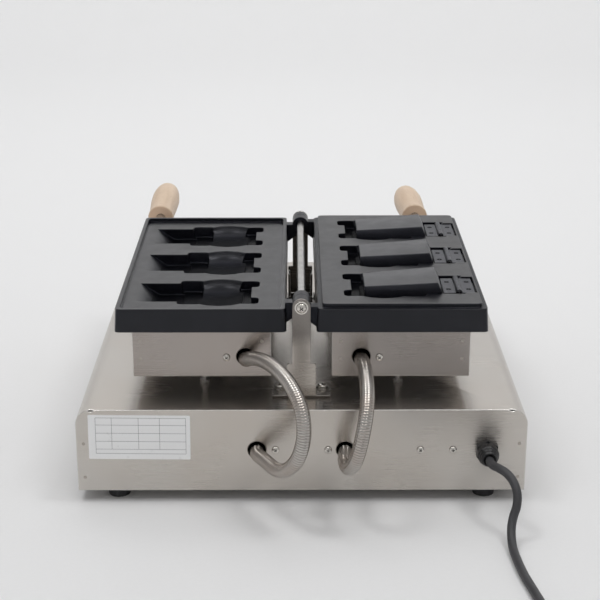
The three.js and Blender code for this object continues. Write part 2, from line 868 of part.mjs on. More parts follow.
// A tubular element folded into legs below the plate, its two terminals turned down at the rear
function makeElement(rear) {
  const radius = elementDiameter / 2;
  const height = -plateThickness - seatGap - radius * Math.cos(Math.PI / elementSides);
  const middle = (coverRange[0] + coverRange[1]) / 2;
  const reach = coverHalf - elementEndInset;
  const path = new THREE.CurvePath();
  const legX = (leg) => middle + (leg - (elementLegs - 1) / 2) * elementLegPitch;
  const bend = elementLegPitch / 2;
  const last = elementLegs - 1;
  const at = (x, y, z = height) => new THREE.Vector3(x, rear * y, z);
  const drop = radius * 2;
  path.add(new THREE.LineCurve3(at(legX(0), reach, height - elementTerminalDrop), at(legX(0), reach, height - drop)));
  path.add(
    new THREE.QuadraticBezierCurve3(at(legX(0), reach, height - drop), at(legX(0), reach), at(legX(0), reach - drop)),
  );
  for (let leg = 0; leg < elementLegs; leg++) {
    const inward = leg % 2 === 0;
    const startY = leg === 0 ? reach - drop : inward ? reach - bend : bend - reach;
    const endY = leg === last ? reach - drop : inward ? bend - reach : reach - bend;
    path.add(new THREE.LineCurve3(at(legX(leg), startY), at(legX(leg), endY)));
    if (leg === last) continue;
    const out = inward ? endY - bend : endY + bend;
    path.add(new THREE.QuadraticBezierCurve3(at(legX(leg), endY), at(legX(leg), out), at(legX(leg) + bend, out)));
    path.add(
      new THREE.QuadraticBezierCurve3(at(legX(leg) + bend, out), at(legX(leg + 1), out), at(legX(leg + 1), endY)),
    );
  }
  path.add(
    new THREE.QuadraticBezierCurve3(at(legX(last), reach - drop), at(legX(last), reach), at(legX(last), reach, height - drop)),
  );
  path.add(
    new THREE.LineCurve3(at(legX(last), reach, height - drop), at(legX(last), reach, height - elementTerminalDrop)),
  );
  const frames = path.curves.flatMap((curve, i) => {
    const shares = curve.isLineCurve3 ? [0, 1] : [0, 0.25, 0.5, 0.75, 1];
    return shares.slice(i ? 1 : 0).map((share) => ({ at: curve.getPoint(share), ahead: curve.getTangent(share) }));
  });
  let across = new THREE.Vector3(1, 0, 0);
  const rings = frames.map(({ at: centre, ahead }) => {
    across = across.clone().addScaledVector(ahead, -across.dot(ahead)).normalize();
    const beside = new THREE.Vector3().crossVectors(ahead, across);
    return ringAt({ at: centre, across, beside }, radius, elementSides);
  });
  return skin(rings, false);
}

function makeRod(handle) {
  const reach = handleRodBare + gripBoreDepth - seatGap;
  return roundBar(handleRodDiameter / 2, [seatGap - handleRodSeat, reach], handle);
}

// A turned grip with its collar towards the plate and a round end away from it
function makeGrip(handle) {
  const profileShares = [
    [gripCollarDiameter / 2 - 1, 0],
    [gripCollarDiameter / 2, 0.01],
    [gripCollarDiameter / 2, 0.05],
    [gripWaistDiameter / 2, 0.14],
    [gripWaistDiameter / 2 + 0.9, 0.28],
    [gripBellyDiameter / 2 - 0.3, 0.5],
    [gripBellyDiameter / 2, 0.64],
    [gripBellyDiameter / 2 - 1.1, 0.8],
    [gripEndDiameter / 2, 0.92],
    [gripEndDiameter * 0.39, 0.97],
    [gripEndDiameter * 0.2, 0.993],
  ];
  const profile = profileShares.map(([radius, share]) => [radius, handleRodBare + share * gripLength]);
  const end = [0, handleRodBare + gripLength];
  const body = turned([[0, handleRodBare], ...profile, end], 18, handle.at, handle.along);
  const bore = handleRodDiameter / 2 + seatGap;
  return cut(body, roundBar(bore, [handleRodBare - cutOverrun, handleRodBare + gripBoreDepth], handle));
}

// Female plate to the right of the shaft, male plate to its left, turned half round
const sides = {
  female: { turn: 0, mould: makeFemaleMould, hose: hoseCoverFemale },
  male: { turn: Math.PI, mould: makeMaleMould, hose: hoseCoverMale },
};
const plates = {};
for (const [side, { turn, mould, hose }] of Object.entries(sides)) {
  const plate = new THREE.Group();
  const rear = -handles[side].front;
  plate.rotation.z = turn;
  hingeLine.add(plate);
  plates[side] = plate;
  place(plate, `${side}_mould_plate`, castCoat, mould());
  place(plate, `${side}_heater_cover`, steel, makeHeaterCover(rear, hose));
  place(plate, `${side}_heating_element`, heaterSteel, makeElement(rear));
  place(plate, `${side}_handle_rod`, brightSteel, makeRod(handles[side]));
  place(plate, `${side}_handle_grip`, wood, makeGrip(handles[side]));
}

// A core insert: a flat-topped wedge from the tail end to the mouth, with a ledge that carries the hinge's leaf
const insertStart = fishBellyStart + insertTailGap;
const insertEnd = fishRampStart - insertMouthGap;
function makeInsert() {
  const mouthWidth = fishThroatWidth - 2 * insertSideGap;
  const section = (xMiddle, xEdge, width, top, height, crown) => {
    const half = width / 2;
    const flat = top / 2;
    return [
      [xMiddle, -half, 0],
      [xEdge, -flat, -height],
      [xEdge, 0, -height - crown],
      [xEdge, flat, -height],
      [xMiddle, half, 0],
      [xEdge, flat, height],
      [xEdge, 0, height + crown],
      [xEdge, -flat, height],
    ].map(([x, y, z]) => new THREE.Vector3(x, y, z));
  };
  const slopeShare = insertEndSlope / (insertEnd - insertStart);
  const body = loft(
    [
      section(insertStart, insertStart, insertTailWidth, insertTailTop, insertTailHeight, insertCrown),
      section(
        insertEnd - insertEndSlope,
        insertEnd - insertEndSlope,
        mouthWidth - (mouthWidth - insertTailWidth) * slopeShare,
        insertMouthTop,
        insertMouthHeight,
        insertCrown,
      ),
      section(insertEnd, insertEnd, mouthWidth, mouthWidth - 2 * insertEndSlope, insertEndSlope, 0),
    ],
    fromSide,
  );
  const ledgeTop = leafBottom - seatGap - platformFace;
  const ledge = block(
    [insertEnd - insertEndSlope, insertEnd + insertLedgeLength],
    [-insertLedgeWidth / 2, insertLedgeWidth / 2],
    [ledgeTop - insertLedgeThickness, ledgeTop],
  );
  return join(body, ledge);
}

// A hinge leaf in the pin's frame: side is 1 for the fixed leaf, which runs outwards, and -1 for the insert's leaf
function makeLeaf(side) {
  const knuckle = hingeKnuckleDiameter / 2;
  const half = hingeLeafLength / 2;
  const middle = hingeMiddleKnuckle / 2;
  const ranges = side < 0 ? [[-middle, middle]] : [[-half, -middle - seatGap], [middle + seatGap, half]];
  const thick = [-knuckle, hingeLeafThickness - knuckle];
  const run = (from, to) => [side * from, side * to].sort((a, b) => a - b);
  const plate = block(run(knuckle + seatGap, hingeLeafReach), [-half, half], thick);
  const pieces = ranges.flatMap((range) => [
    block(run(0, knuckle + 2 * seatGap), range, thick),
    bar("y", knuckle, range, [0, 0], 12),
  ]);
  const bore = bar("y", hingePinDiameter / 2 + seatGap, [-half - cutOverrun, half + cutOverrun], [0, 0], 10);
  return cut(join(plate, ...pieces), bore);
}

function makeHingePin() {
  const half = hingeLeafLength / 2 + seatGap;
  const head = hingePinHead / 2;
  const shank = hingePinDiameter / 2;
  return turned(
    [
      [0, -half - hingePinHeadLength],
      [head, -half - hingePinHeadLength],
      [head, -half],
      [shank, -half],
      [shank, half],
      [head, half],
      [head, half + hingePinHeadLength],
      [0, half + hingePinHeadLength],
    ],
    8,
    new THREE.Vector3(),
    new THREE.Vector3(0, 1, 0),
  );
}

for (const [name, y] of Object.entries(fishPlaces)) {
  const own = -y;
  place(plates.male, `core_insert_${name}`, castCoat, makeInsert(), 0, own, platformFace);
  place(plates.male, `insert_leaf_${name}`, castCoat, makeLeaf(-1), pinFromShaft, own, pinHeight);
  place(plates.male, `plate_leaf_${name}`, castCoat, makeLeaf(1), pinFromShaft, own, pinHeight);
  place(plates.male, `hinge_pin_${name}`, brightSteel, makeHingePin(), pinFromShaft, own, pinHeight);
}

// Conduits rest on the lower edges of their holes: points as [across, behind the panel, above the floor]
const hoseSag = (hoseHoleDiameter - hoseDiameter) / 2 - seatGap;
const panelEndHeight = footHeight + hosePanelHeight - hoseSag;
const coverEndHeight = axisHeight + seatGap - coverHoseDrop - hoseSag;
const coverWall = plateMiddle + coverHalf;
const hoseRoutes = {
  female: [
    [34.4, 25.3, 55.5],
    [24.6, 42.2, 54.6],
    [14.2, 56, 60],
    [4.2, 64, 74.4],
    [-1.2, 66.1, 93.1],
    [-1.7, 62.8, 111.2],
    [2, 53.7, 125.6],
    [9.8, 40.3, 137.1],
    [18.7, 24.8, 143.1],
    [28.6, 8.6, 145.5],
    [39.3, -7.4, 144.6],
    [48.4, -20.5, 140.4],
  ],
  male: [
    [-40.6, 24.5, 54.6],
    [-42.7, 41, 55.1],
    [-47.8, 53.8, 64.4],
    [-51.9, 60, 80.2],
    [-55.3, 59.4, 96.8],
    [-58.3, 53.2, 111.6],
    [-59.9, 42.1, 123.6],
    [-60.1, 27.7, 132.1],
    [-59.5, 11.4, 136.9],
    [-59, -5.5, 137.7],
    [-58.3, -19.5, 136.4],
  ],
};

// A straight end that starts inside the wall and comes out of it
function straightRun(x, y, z) {
  return [0, 0.5, 1].map((share) => new THREE.Vector3(x, y - hoseInside + share * hoseDiameter, z));
}

function makeHose(route, panelX, coverX) {
  const curve = new THREE.CatmullRomCurve3([
    ...straightRun(panelX, rearFace, panelEndHeight),
    ...route.map(([x, behind, z]) => new THREE.Vector3(x, rearFace + behind, z)),
    ...straightRun(coverX, coverWall, coverEndHeight).reverse(),
  ]);
  const ribs = Math.round(curve.getLength() / hoseRibPitch);
  const frames = framesAlong(curve, evenShares(2 * ribs));
  const crest = hoseDiameter / 2;
  const outer = frames.map((frame, i) => ringAt(frame, i % 2 ? crest : crest - hoseRibDepth, 8));
  const boreStep = 2 * hoseRibsPerBoreRing;
  const inner = frames
    .filter((_, i) => i % boreStep === 0 || i === 2 * ribs)
    .map((frame) => ringAt(frame, hoseBore / 2, 8));
  return { made: skin([...outer, ...inner.reverse()], true), length: curve.getLength(), ribs };
}
const hosePlaces = {
  female: [hosePanelFemale, hoseCoverFemale],
  male: [-hosePanelMale, -hoseCoverMale],
};
for (const [side, [panelX, coverX]] of Object.entries(hosePlaces)) {
  const { made, length, ribs } = makeHose(hoseRoutes[side], panelX, coverX);
  console.log(`${side} conduit: ${length.toFixed(1)} mm along its middle, ${ribs} ribs`);
  place(base, `${side}_conduit`, steel, made);
}

// Cable gland: a hex body through the panel, a locknut inside and a cap that grips the cord
const glandHeight = footHeight + glandAbovePanelEdge;
const outwards = new THREE.Vector3(0, 1, 0);
function makeGlandBody() {
  const hex = bar("y", glandHexDiameter / Math.sqrt(3), [seatGap, glandHexLength], [0, 0], 6);
  const thread = bar("y", glandThreadDiameter / 2, [-sheet - glandTailInside, glandHexLength], [0, 0], 12);
  const bore = bar("y", glandBore / 2, [-sheet - glandTailInside - cutOverrun, glandHexLength + cutOverrun], [0, 0], 12);
  return cut(join(hex, thread), bore);
}
function makeGlandCap() {
  const start = glandHexLength + seatGap;
  const end = start + glandCapLength;
  const wide = glandCapDiameter / 2;
  const narrow = glandCapEndDiameter / 2;
  const body = turned(
    [
      [0, start],
      [wide, start],
      [wide, start + glandCapLength * 0.5],
      [wide * 0.9, start + glandCapLength * 0.78],
      [narrow, end],
      [0, end],
    ],
    18,
    new THREE.Vector3(),
    outwards,
  );
  return cut(body, bar("y", glandBore / 2, [start - cutOverrun, end + cutOverrun], [0, 0], 12));
}
function makeGlandLocknut() {
  const face = -sheet - seatGap;
  const nut = bar("y", glandHexDiameter / Math.sqrt(3), [face - glandLocknutThickness, face], [0, 0], 6);
  const bore = glandThreadDiameter / 2 + seatGap;
  return cut(nut, bar("y", bore, [face - glandLocknutThickness - cutOverrun, face + cutOverrun], [0, 0], 12));
}
place(base, "cable_gland_body", blackPlastic, makeGlandBody(), -glandFromCentre, rearFace, glandHeight);
place(base, "cable_gland_cap", blackPlastic, makeGlandCap(), -glandFromCentre, rearFace, glandHeight);
place(base, "cable_gland_locknut", blackPlastic, makeGlandLocknut(), -glandFromCentre, rearFace, glandHeight);

// Mains cord: points as [across from the gland, behind the rear panel, above the floor], up to the coil
const glandTip = glandHexLength + seatGap + glandCapLength;
const cordRoute = [
  [0, 23.6, 54.4],
  [0, 27.9, 54.4],
  [-1.8, 36.6, 55.2],
  [-6.1, 44.6, 56.1],
  [-11.6, 51.7, 55],
  [-16.3, 58.4, 51.4],
  [-19.3, 64.7, 45.8],
  [-20.1, 70.2, 39],
  [-18.9, 74.5, 31.6],
  [-16.2, 77.5, 24],
  [-14.2, 82, 17.1],
  [-13.3, 88.1, 11.4],
  [-13, 95.5, 7.5],
  [-12.9, 103.8, 5.5],
  [-13.3, 112.5, 4.5],
  [-13.9, 121, 4.1],
  [-14.8, 134, 4.1],
  [-16.6, 150.5, 4.1],
  [-19.5, 168.7, 4.1],
  [-22.6, 187.5, 4.1],
  [-26, 208, 4.1],
  [-28.3, 228, 4.1],
  [-29, 246, 4.1],
  [-29, 262, 4.1],
];
function makeCord() {
  const points = cordRoute.map(([across, behind, z]) => new THREE.Vector3(across - glandFromCentre, rearFace + behind, z));
  points[0] = new THREE.Vector3(-glandFromCentre, rearFace + glandTip + seatGap, glandHeight);
  const curve = new THREE.CatmullRomCurve3(points);
  const steps = Math.round(curve.getLength() / (cordStepDiameters * cordDiameter));
  return { made: tube(curve, cordDiameter / 2, cordSides, steps), length: curve.getLength() };
}

// The coil winds inwards on the floor, climbs in the half turn where it reverses and winds outwards above
const coilPitch = cordDiameter + coilTurnGap;
const coilStart = cordRoute[cordRoute.length - 1];
const coilCentre = [coilStart[0] - glandFromCentre + coilOuterRadius, coilStart[1] + seatGap + cordDiameter];
function coilPoint(turns) {
  const half = coilTurns / 2;
  const radius = coilOuterRadius - coilPitch * (half - Math.abs(turns - half));
  const climb = THREE.MathUtils.clamp(2 * (turns - half) + 0.5, 0, 1);
  const angle = Math.PI - 2 * Math.PI * turns;
  return new THREE.Vector3(
    coilCentre[0] + radius * Math.cos(angle),
    rearFace + coilCentre[1] + radius * Math.sin(angle),
    coilStart[2] + climb * coilPitch,
  );
}
function makeCoil() {
  const count = Math.round(coilTurns * coilStepsPerTurn);
  const turnsAt = evenShares(count).map((share) => share * coilTurns);
  const points = turnsAt.map(coilPoint);
  const first = points[0].clone().add(new THREE.Vector3(0, -cordDiameter, 0));
  const last = points[count].clone().add(new THREE.Vector3(coilTailLength, 0, 0));
  const all = [first, ...points, last];
  const heading = (i) => {
    if (i === 0) return new THREE.Vector3(0, 1, 0);
    if (i === all.length - 1) return new THREE.Vector3(1, 0, 0);
    return all[i + 1].clone().sub(all[i - 1]).normalize();
  };
  const rings = all.map((at, i) => {
    const ahead = heading(i);
    const across = up.clone().addScaledVector(ahead, -up.dot(ahead)).normalize();
    return ringAt({ at, across, beside: new THREE.Vector3().crossVectors(ahead, across) }, cordDiameter / 2, coilSides);
  });
  let gap = Infinity;
  points.forEach((p, i) =>
    points.slice(i + coilStepsPerTurn / 2).forEach((q) => {
      gap = Math.min(gap, p.distanceTo(q) - cordDiameter);
    }),
  );
  const length = all.slice(1).reduce((sum, p, i) => sum + p.distanceTo(all[i]), 0);
  return { made: skin(rings, false), length, gap, end: last };
}

function makePlug() {
  const half = plugWidth / 2;
  const shape = roundRectangle([-half, half], [-plugHeight / 2, plugHeight / 2], plugRound);
  const neck = bar("x", plugNeckDiameter / 2, [0, plugNeckLength + cutOverrun], [0, 0], 14);
  const body = alongX(shape, [plugNeckLength, plugNeckLength + plugLength], 2);
  const face = plugNeckLength + plugLength;
  const pins = [-1, 1].map((side) =>
    bar("x", plugPinDiameter / 2, [face - cutOverrun, face + plugPinLength], [(side * plugPinSpacing) / 2, 0], 10),
  );
  return join(neck, body, ...pins);
}

const cord = makeCord();
const coil = makeCoil();
console.log(`mains cord: ${(cord.length + coil.length).toFixed(0)} mm, ${coil.length.toFixed(0)} of them coiled`);
console.log(`coil: least gap to itself ${coil.gap.toFixed(2)} mm`);
const lead = new THREE.Group();
machine.add(lead);
place(lead, "power_cord", blackRubber, cord.made);
place(lead, "power_cord_coil", blackRubber, coil.made);
place(lead, "power_plug", blackPlastic, makePlug(), coil.end.x + seatGap, coil.end.y, coil.end.z);

// Controls on the front flap, each made with the flap's outer face at Y zero
const controlLine = new THREE.Group();
controlLine.position.set(0, -rearFace, footHeight + controlHeight);
base.add(controlLine);
const forwards = new THREE.Vector3(0, -1, 0);

function makeSwitchgear({ width, depth, height }) {
  const back = sheet + seatGap;
  const body = block([-width / 2, width / 2], [back, back + depth], [-height / 2, height / 2]);
  return join(body, bar("y", spindleDiameter / 2, [-knobPanelGap - spindleReach, back + cutOverrun], [0, 0], 12));
}

function makeKnob() {
  const skirt = knobSkirtDiameter / 2;
  const grip = knobDiameter / 2;
  const body = turned(
    [
      [0, 0],
      [skirt, 0],
      [skirt - 1, knobSkirtHeight],
      [grip - 2, knobSkirtHeight + 1],
      [grip - 5, knobHeight - 1],
      [grip - 6, knobHeight],
      [0, knobHeight],
    ],
    18,
    new THREE.Vector3(0, -knobPanelGap, 0),
    forwards,
  );
  const top = -knobPanelGap - knobHeight;
  const ridge = block(
    [-knobRidgeWidth / 2, knobRidgeWidth / 2],
    [top - knobRidgeRise, top + cutOverrun],
    [5 - grip, grip - 5],
  );
  const bore = spindleDiameter / 2 + spindleGap;
  const reach = -knobPanelGap - spindleReach - spindleGap;
  return cut(join(body, ridge), bar("y", bore, [reach, cutOverrun - knobPanelGap], [0, 0], 12));
}

function makeLamp() {
  const lens = lampLensDiameter / 2;
  return join(
    turned(
      [
        [0, seatGap],
        [lens, seatGap],
        [lens, 2],
        [lens * 0.7, lampLensRise - 0.6],
        [0, lampLensRise],
      ],
      16,
      new THREE.Vector3(),
      forwards,
    ),
    bar("y", lampBodyDiameter / 2, [-seatGap - 1, lampBodyLength], [0, 0], 14),
  );
}

// The switch's housing stands behind the flap with its frame in front, and the rocker turns inside it
function makeSwitchBody() {
  const wide = rockerWidth / 2;
  const high = rockerHeight / 2;
  const body = block([-wide, wide], [-rockerFrameRise, rockerBodyDepth], [-high, high]);
  const frame = block(
    [-wide - rockerFrame, wide + rockerFrame],
    [-rockerFrameRise, -seatGap],
    [-high - rockerFrame, high + rockerFrame],
  );
  const well = block(
    [1.5 - wide, wide - 1.5],
    [-rockerFrameRise - cutOverrun, rockerDepth + rockerGap],
    [1.5 - high, high - 1.5],
  );
  return cut(join(body, frame), well);
}

function makeRocker() {
  const wide = rockerWidth / 2 - 1.5 - rockerGap;
  const high = rockerHeight / 2 - 1.5 - rockerGap - rockerDepth * Math.sin(rockerTilt);
  const crest = high * Math.tan(rockerTilt);
  const side = outline([
    [rockerDepth - 1, -high],
    [-rockerFrameRise - crest, -high],
    [-rockerFrameRise, 0],
    [-rockerFrameRise - crest, high],
    [rockerDepth - 1, high],
  ]);
  return alongX(side, [-wide, wide]);
}

place(controlLine, "thermostat_body", greyPlastic, makeSwitchgear(thermostatBox), -thermostatFromCentre);
place(controlLine, "timer_body", greyPlastic, makeSwitchgear(timerBox), timerFromCentre);
place(controlLine, "thermostat_knob", blackPlastic, makeKnob(), -thermostatFromCentre);
place(controlLine, "timer_knob", blackPlastic, makeKnob(), timerFromCentre);
place(controlLine, "heating_lamp", amberPlastic, makeLamp(), -lampFromCentre);
place(controlLine, "power_lamp", redPlastic, makeLamp(), lampFromCentre);
place(controlLine, "power_switch_body", blackPlastic, makeSwitchBody());
const rocker = place(controlLine, "power_rocker", redPlastic, makeRocker());
rocker.rotation.x = rockerTilt;

function makeTerminalBlock() {
  const { width, depth, height, wires, bore } = terminalBlock;
  const body = block([-width / 2, width / 2], [-depth / 2, depth / 2], [0, height]);
  const pitch = width / wires;
  const ways = Array.from({ length: wires }, (_, i) =>
    bar(
      "y",
      bore / 2,
      [-depth / 2 - cutOverrun, depth / 2 + cutOverrun],
      [(i - (wires - 1) / 2) * pitch, height / 2],
      8,
    ),
  );
  return cut(body, ...ways);
}
place(
  base,
  "terminal_block",
  ceramic,
  makeTerminalBlock(),
  -terminalBlock.width,
  rearFace - terminalBlock.fromRear,
  footHeight + sheet + seatGap,
);

// The origin is on the floor, at the middle of the machine's box without its cord
machine.updateMatrixWorld(true);
const own = new THREE.Box3().setFromObject(base).union(new THREE.Box3().setFromObject(hingeLine));
const middle = own.getCenter(new THREE.Vector3());
machine.position.set(-middle.x, -middle.y, -own.min.z);

export default machine;
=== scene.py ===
# A countertop fish-cake iron, seen from its back with both mould plates open flat.
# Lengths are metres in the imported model's frame: X across, Y towards the rear panel, Z up.
import math

import bpy
import numpy as np
from mathutils import Matrix, Vector


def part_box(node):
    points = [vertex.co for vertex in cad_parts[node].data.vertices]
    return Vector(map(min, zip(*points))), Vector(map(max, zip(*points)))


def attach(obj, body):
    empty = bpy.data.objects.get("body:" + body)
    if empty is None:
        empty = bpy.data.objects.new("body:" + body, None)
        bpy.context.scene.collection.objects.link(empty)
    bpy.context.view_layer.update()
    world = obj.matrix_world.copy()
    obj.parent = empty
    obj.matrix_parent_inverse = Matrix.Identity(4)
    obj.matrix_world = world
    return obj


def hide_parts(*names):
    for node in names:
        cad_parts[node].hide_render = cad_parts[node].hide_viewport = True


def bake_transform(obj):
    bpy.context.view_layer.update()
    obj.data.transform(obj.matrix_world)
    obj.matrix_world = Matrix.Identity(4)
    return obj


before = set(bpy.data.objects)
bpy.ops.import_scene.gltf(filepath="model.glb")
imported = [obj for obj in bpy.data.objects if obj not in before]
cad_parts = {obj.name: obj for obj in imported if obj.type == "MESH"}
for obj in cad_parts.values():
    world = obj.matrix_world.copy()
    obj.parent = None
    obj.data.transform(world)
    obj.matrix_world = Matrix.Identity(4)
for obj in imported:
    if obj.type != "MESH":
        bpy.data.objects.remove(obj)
scene = bpy.context.scene
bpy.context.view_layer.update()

# Camera
camera_place = (0.0059, 1.47332, 0.6497)
camera_pitch = 70.73
camera_heading = 179.8
camera_lens = 87.52
sensor_width = 36

# Studio: a round seamless paper and soft lights (name, place, aim, width, height, power)
paper_floor = 2.2
paper_curve = 1.2
paper_top = 5.0
paper_steps = 16
paper_sides = 96
world_strength = 0.55
softboxes = [
    ("overhead_left", (0.75, 0.2, 2.1), (0, 0, 0.1), 0.5, 0.5, 6),
    ("overhead_right", (-0.75, 0.2, 2.1), (0, 0, 0.1), 0.5, 0.5, 7),
    ("overhead_back", (0, -0.9, 2.1), (0, -0.1, 0.1), 1.4, 0.5, 4.5),
    ("paper_wash", (0, -0.9, 2.9), (0, -3.4, 2.0), 3.0, 0.8, 45),
    ("edge_strip", (0, 1.15, 2.1), (0, 0.1, 0.1), 2.6, 0.35, 8),
]

# Places on the machine, from its solids
base_low, base_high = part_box("base_housing")
cover_low, cover_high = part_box("female_heater_cover")
post_low, post_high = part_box("rear_post")
rear_face = base_high.y
front_face = base_low.y
cover_rear = cover_high.y
cover_front = cover_low.y
rear_post_face = post_high.y
front_post_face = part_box("front_post")[0].y
panel_bottom = base_low.z
post_foot_thick = 0.0025
foot_top = post_low.z + post_foot_thick
control_height = 0.054
axis_height = 0.1883
leaf_top = 0.1909
mould_floor = 0.174
mould_rim = 0.1842
male_hollow = 0.1845
rows = ("rear", "middle", "front")
fish_rows = {row: sum(corner.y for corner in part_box(f"plate_leaf_{row}")) / 2 for row in rows}
plate_bodies = {"female": "female_plate", "male": "male_plate"}

# Mains lead: points across from the gland, behind the rear panel and above the floor
gland_across = -0.177
gland_height = 0.0544
lead_diameter = 0.0082
lead_roundness = 5
lead_route = [
    (0, 0.0236, 0.0544),
    (0, 0.0279, 0.0544),
    (-0.0018, 0.0366, 0.0552),
    (-0.0061, 0.0446, 0.0561),
    (-0.0116, 0.0517, 0.055),
    (-0.0163, 0.0584, 0.0514),
    (-0.0193, 0.0647, 0.0458),
    (-0.0201, 0.0702, 0.039),
    (-0.0189, 0.0745, 0.0316),
    (-0.0162, 0.0775, 0.024),
    (-0.0142, 0.082, 0.0171),
    (-0.0133, 0.0881, 0.0114),
    (-0.013, 0.0955, 0.0075),
    (-0.0129, 0.1038, 0.0055),
    (-0.0133, 0.1125, 0.0045),
    (-0.0139, 0.121, 0.0041),
    (-0.0148, 0.134, 0.0041),
    (-0.0166, 0.1505, 0.0041),
    (-0.0195, 0.1687, 0.0041),
    (-0.0226, 0.1875, 0.0041),
    (-0.026, 0.208, 0.0041),
    (-0.0283, 0.228, 0.0041),
    (-0.029, 0.246, 0.0041),
    (-0.029, 0.262, 0.0041),
]
coil_centre = (-0.152, 0.2705)
coil_turns = 5.25
coil_radius = 0.054
coil_pitch = 0.0088
coil_steps_per_turn = 48
coil_climb_turns = 0.5
coil_tail = 0.038
coil_tail_shares = (0.25, 0.5, 0.75, 1.0)
lead_step = 0.002

# Conduits: points across, behind the rear panel and above the floor
hose_diameter = 0.0138
hose_bore = 0.01
hose_inside = 0.009
hose_pitch = 0.0024
hose_groove = 0.00028
hose_sides = 32
hose_ring_skip = 3
hose_ring_shares = ((0.0, 1.0), (0.09, 0.35), (0.18, 0.0), (0.82, 0.0), (0.91, 0.35))
hose_line_step = 0.0008
hose_ease = 0.005
hose_panel_height = 0.0526
hose_cover_height = 0.1333
hose_ends = {"female": (0.0427, 0.0538), "male": (-0.042, -0.0576)}
hose_routes = {
    "female": [
        (0.0344, 0.0253, 0.0555),
        (0.0246, 0.0422, 0.0546),
        (0.0142, 0.056, 0.06),
        (0.0042, 0.064, 0.0744),
        (-0.0012, 0.0661, 0.0931),
        (-0.0017, 0.0628, 0.1112),
        (0.002, 0.0537, 0.1256),
        (0.0098, 0.0403, 0.1371),
        (0.0187, 0.0248, 0.1431),
        (0.0286, 0.0086, 0.1455),
        (0.0393, -0.0074, 0.1446),
        (0.0484, -0.0205, 0.1404),
    ],
    "male": [
        (-0.0406, 0.0245, 0.0546),
        (-0.0427, 0.041, 0.0551),
        (-0.0478, 0.0538, 0.0644),
        (-0.0519, 0.06, 0.0802),
        (-0.0553, 0.0594, 0.0968),
        (-0.0583, 0.0532, 0.1116),
        (-0.0599, 0.0421, 0.1236),
        (-0.0601, 0.0277, 0.1321),
        (-0.0595, 0.0114, 0.1369),
        (-0.059, -0.0055, 0.1377),
        (-0.0583, -0.0195, 0.1364),
    ],
}

# Lengths in the materials: rounded edges, rubbed edges, some with a painted highlight, and how far
# painted shade reaches
sheet_bend_radius = 0.0016
turned_edge_radius = 0.0003
casting_edge_radius = 0.0018
casting_rub_highlight_radius = 0.0012
plastic_edge_radius = 0.0005
plastic_rub_radius = 0.0006
groove_shade_reach = 0.0009
mould_shade_reach = 0.022
hinge_shade_reach = 0.0008
screw_shade_reach = 0.0012
shaft_dark_near = 0.0135
shaft_dark_far = 0.0175
post_shade_drop = 0.04
post_shade_reach = 0.014
post_shade_gap = 0.0006
foot_shade_gap = 0.0002
soft_samples = 6

# Sides of turned shapes, and the angles and the distance within which faces and corners are joined
head_sides = 40
spot_sides = 24
ring_sides = 28
solid_angle = 34
insert_angle = 62
crisp_angle = 30
round_angle = 40
gland_angle = 50
join_distance = 0.000001

# Smooth lines through given points
curve_steps = 24


def smooth_line(points, step):
    """Points a step apart on the centripetal Catmull-Rom curve through the given points."""
    known = np.array(points, float)
    known = np.vstack([2 * known[0] - known[1], known, 2 * known[-1] - known[-2]])
    dense = []
    for a, b, c, d in zip(known, known[1:], known[2:], known[3:]):
        before, within, after = (math.sqrt(np.linalg.norm(q - p)) for p, q in ((a, b), (b, c), (c, d)))
        leave = within * ((b - a) / before - (c - a) / (before + within) + (c - b) / within)
        reach = within * ((c - b) / within - (d - b) / (within + after) + (d - c) / after)
        square = 3 * (c - b) - 2 * leave - reach
        cube = 2 * (b - c) + leave + reach
        for t in np.linspace(0, 1, curve_steps, endpoint=False):
            dense.append(b + leave * t + square * t**2 + cube * t**3)
    dense = np.array([*dense, known[-2]])
    along = np.concatenate([[0], np.cumsum(np.linalg.norm(np.diff(dense, axis=0), axis=1))])
    places = np.linspace(0, along[-1], max(2, round(along[-1] / step)) + 1)
    return np.stack([np.interp(places, along, dense[:, axis]) for axis in range(3)], axis=1)


def line_length(line):
    return float(np.linalg.norm(np.diff(line, axis=0), axis=1).sum())


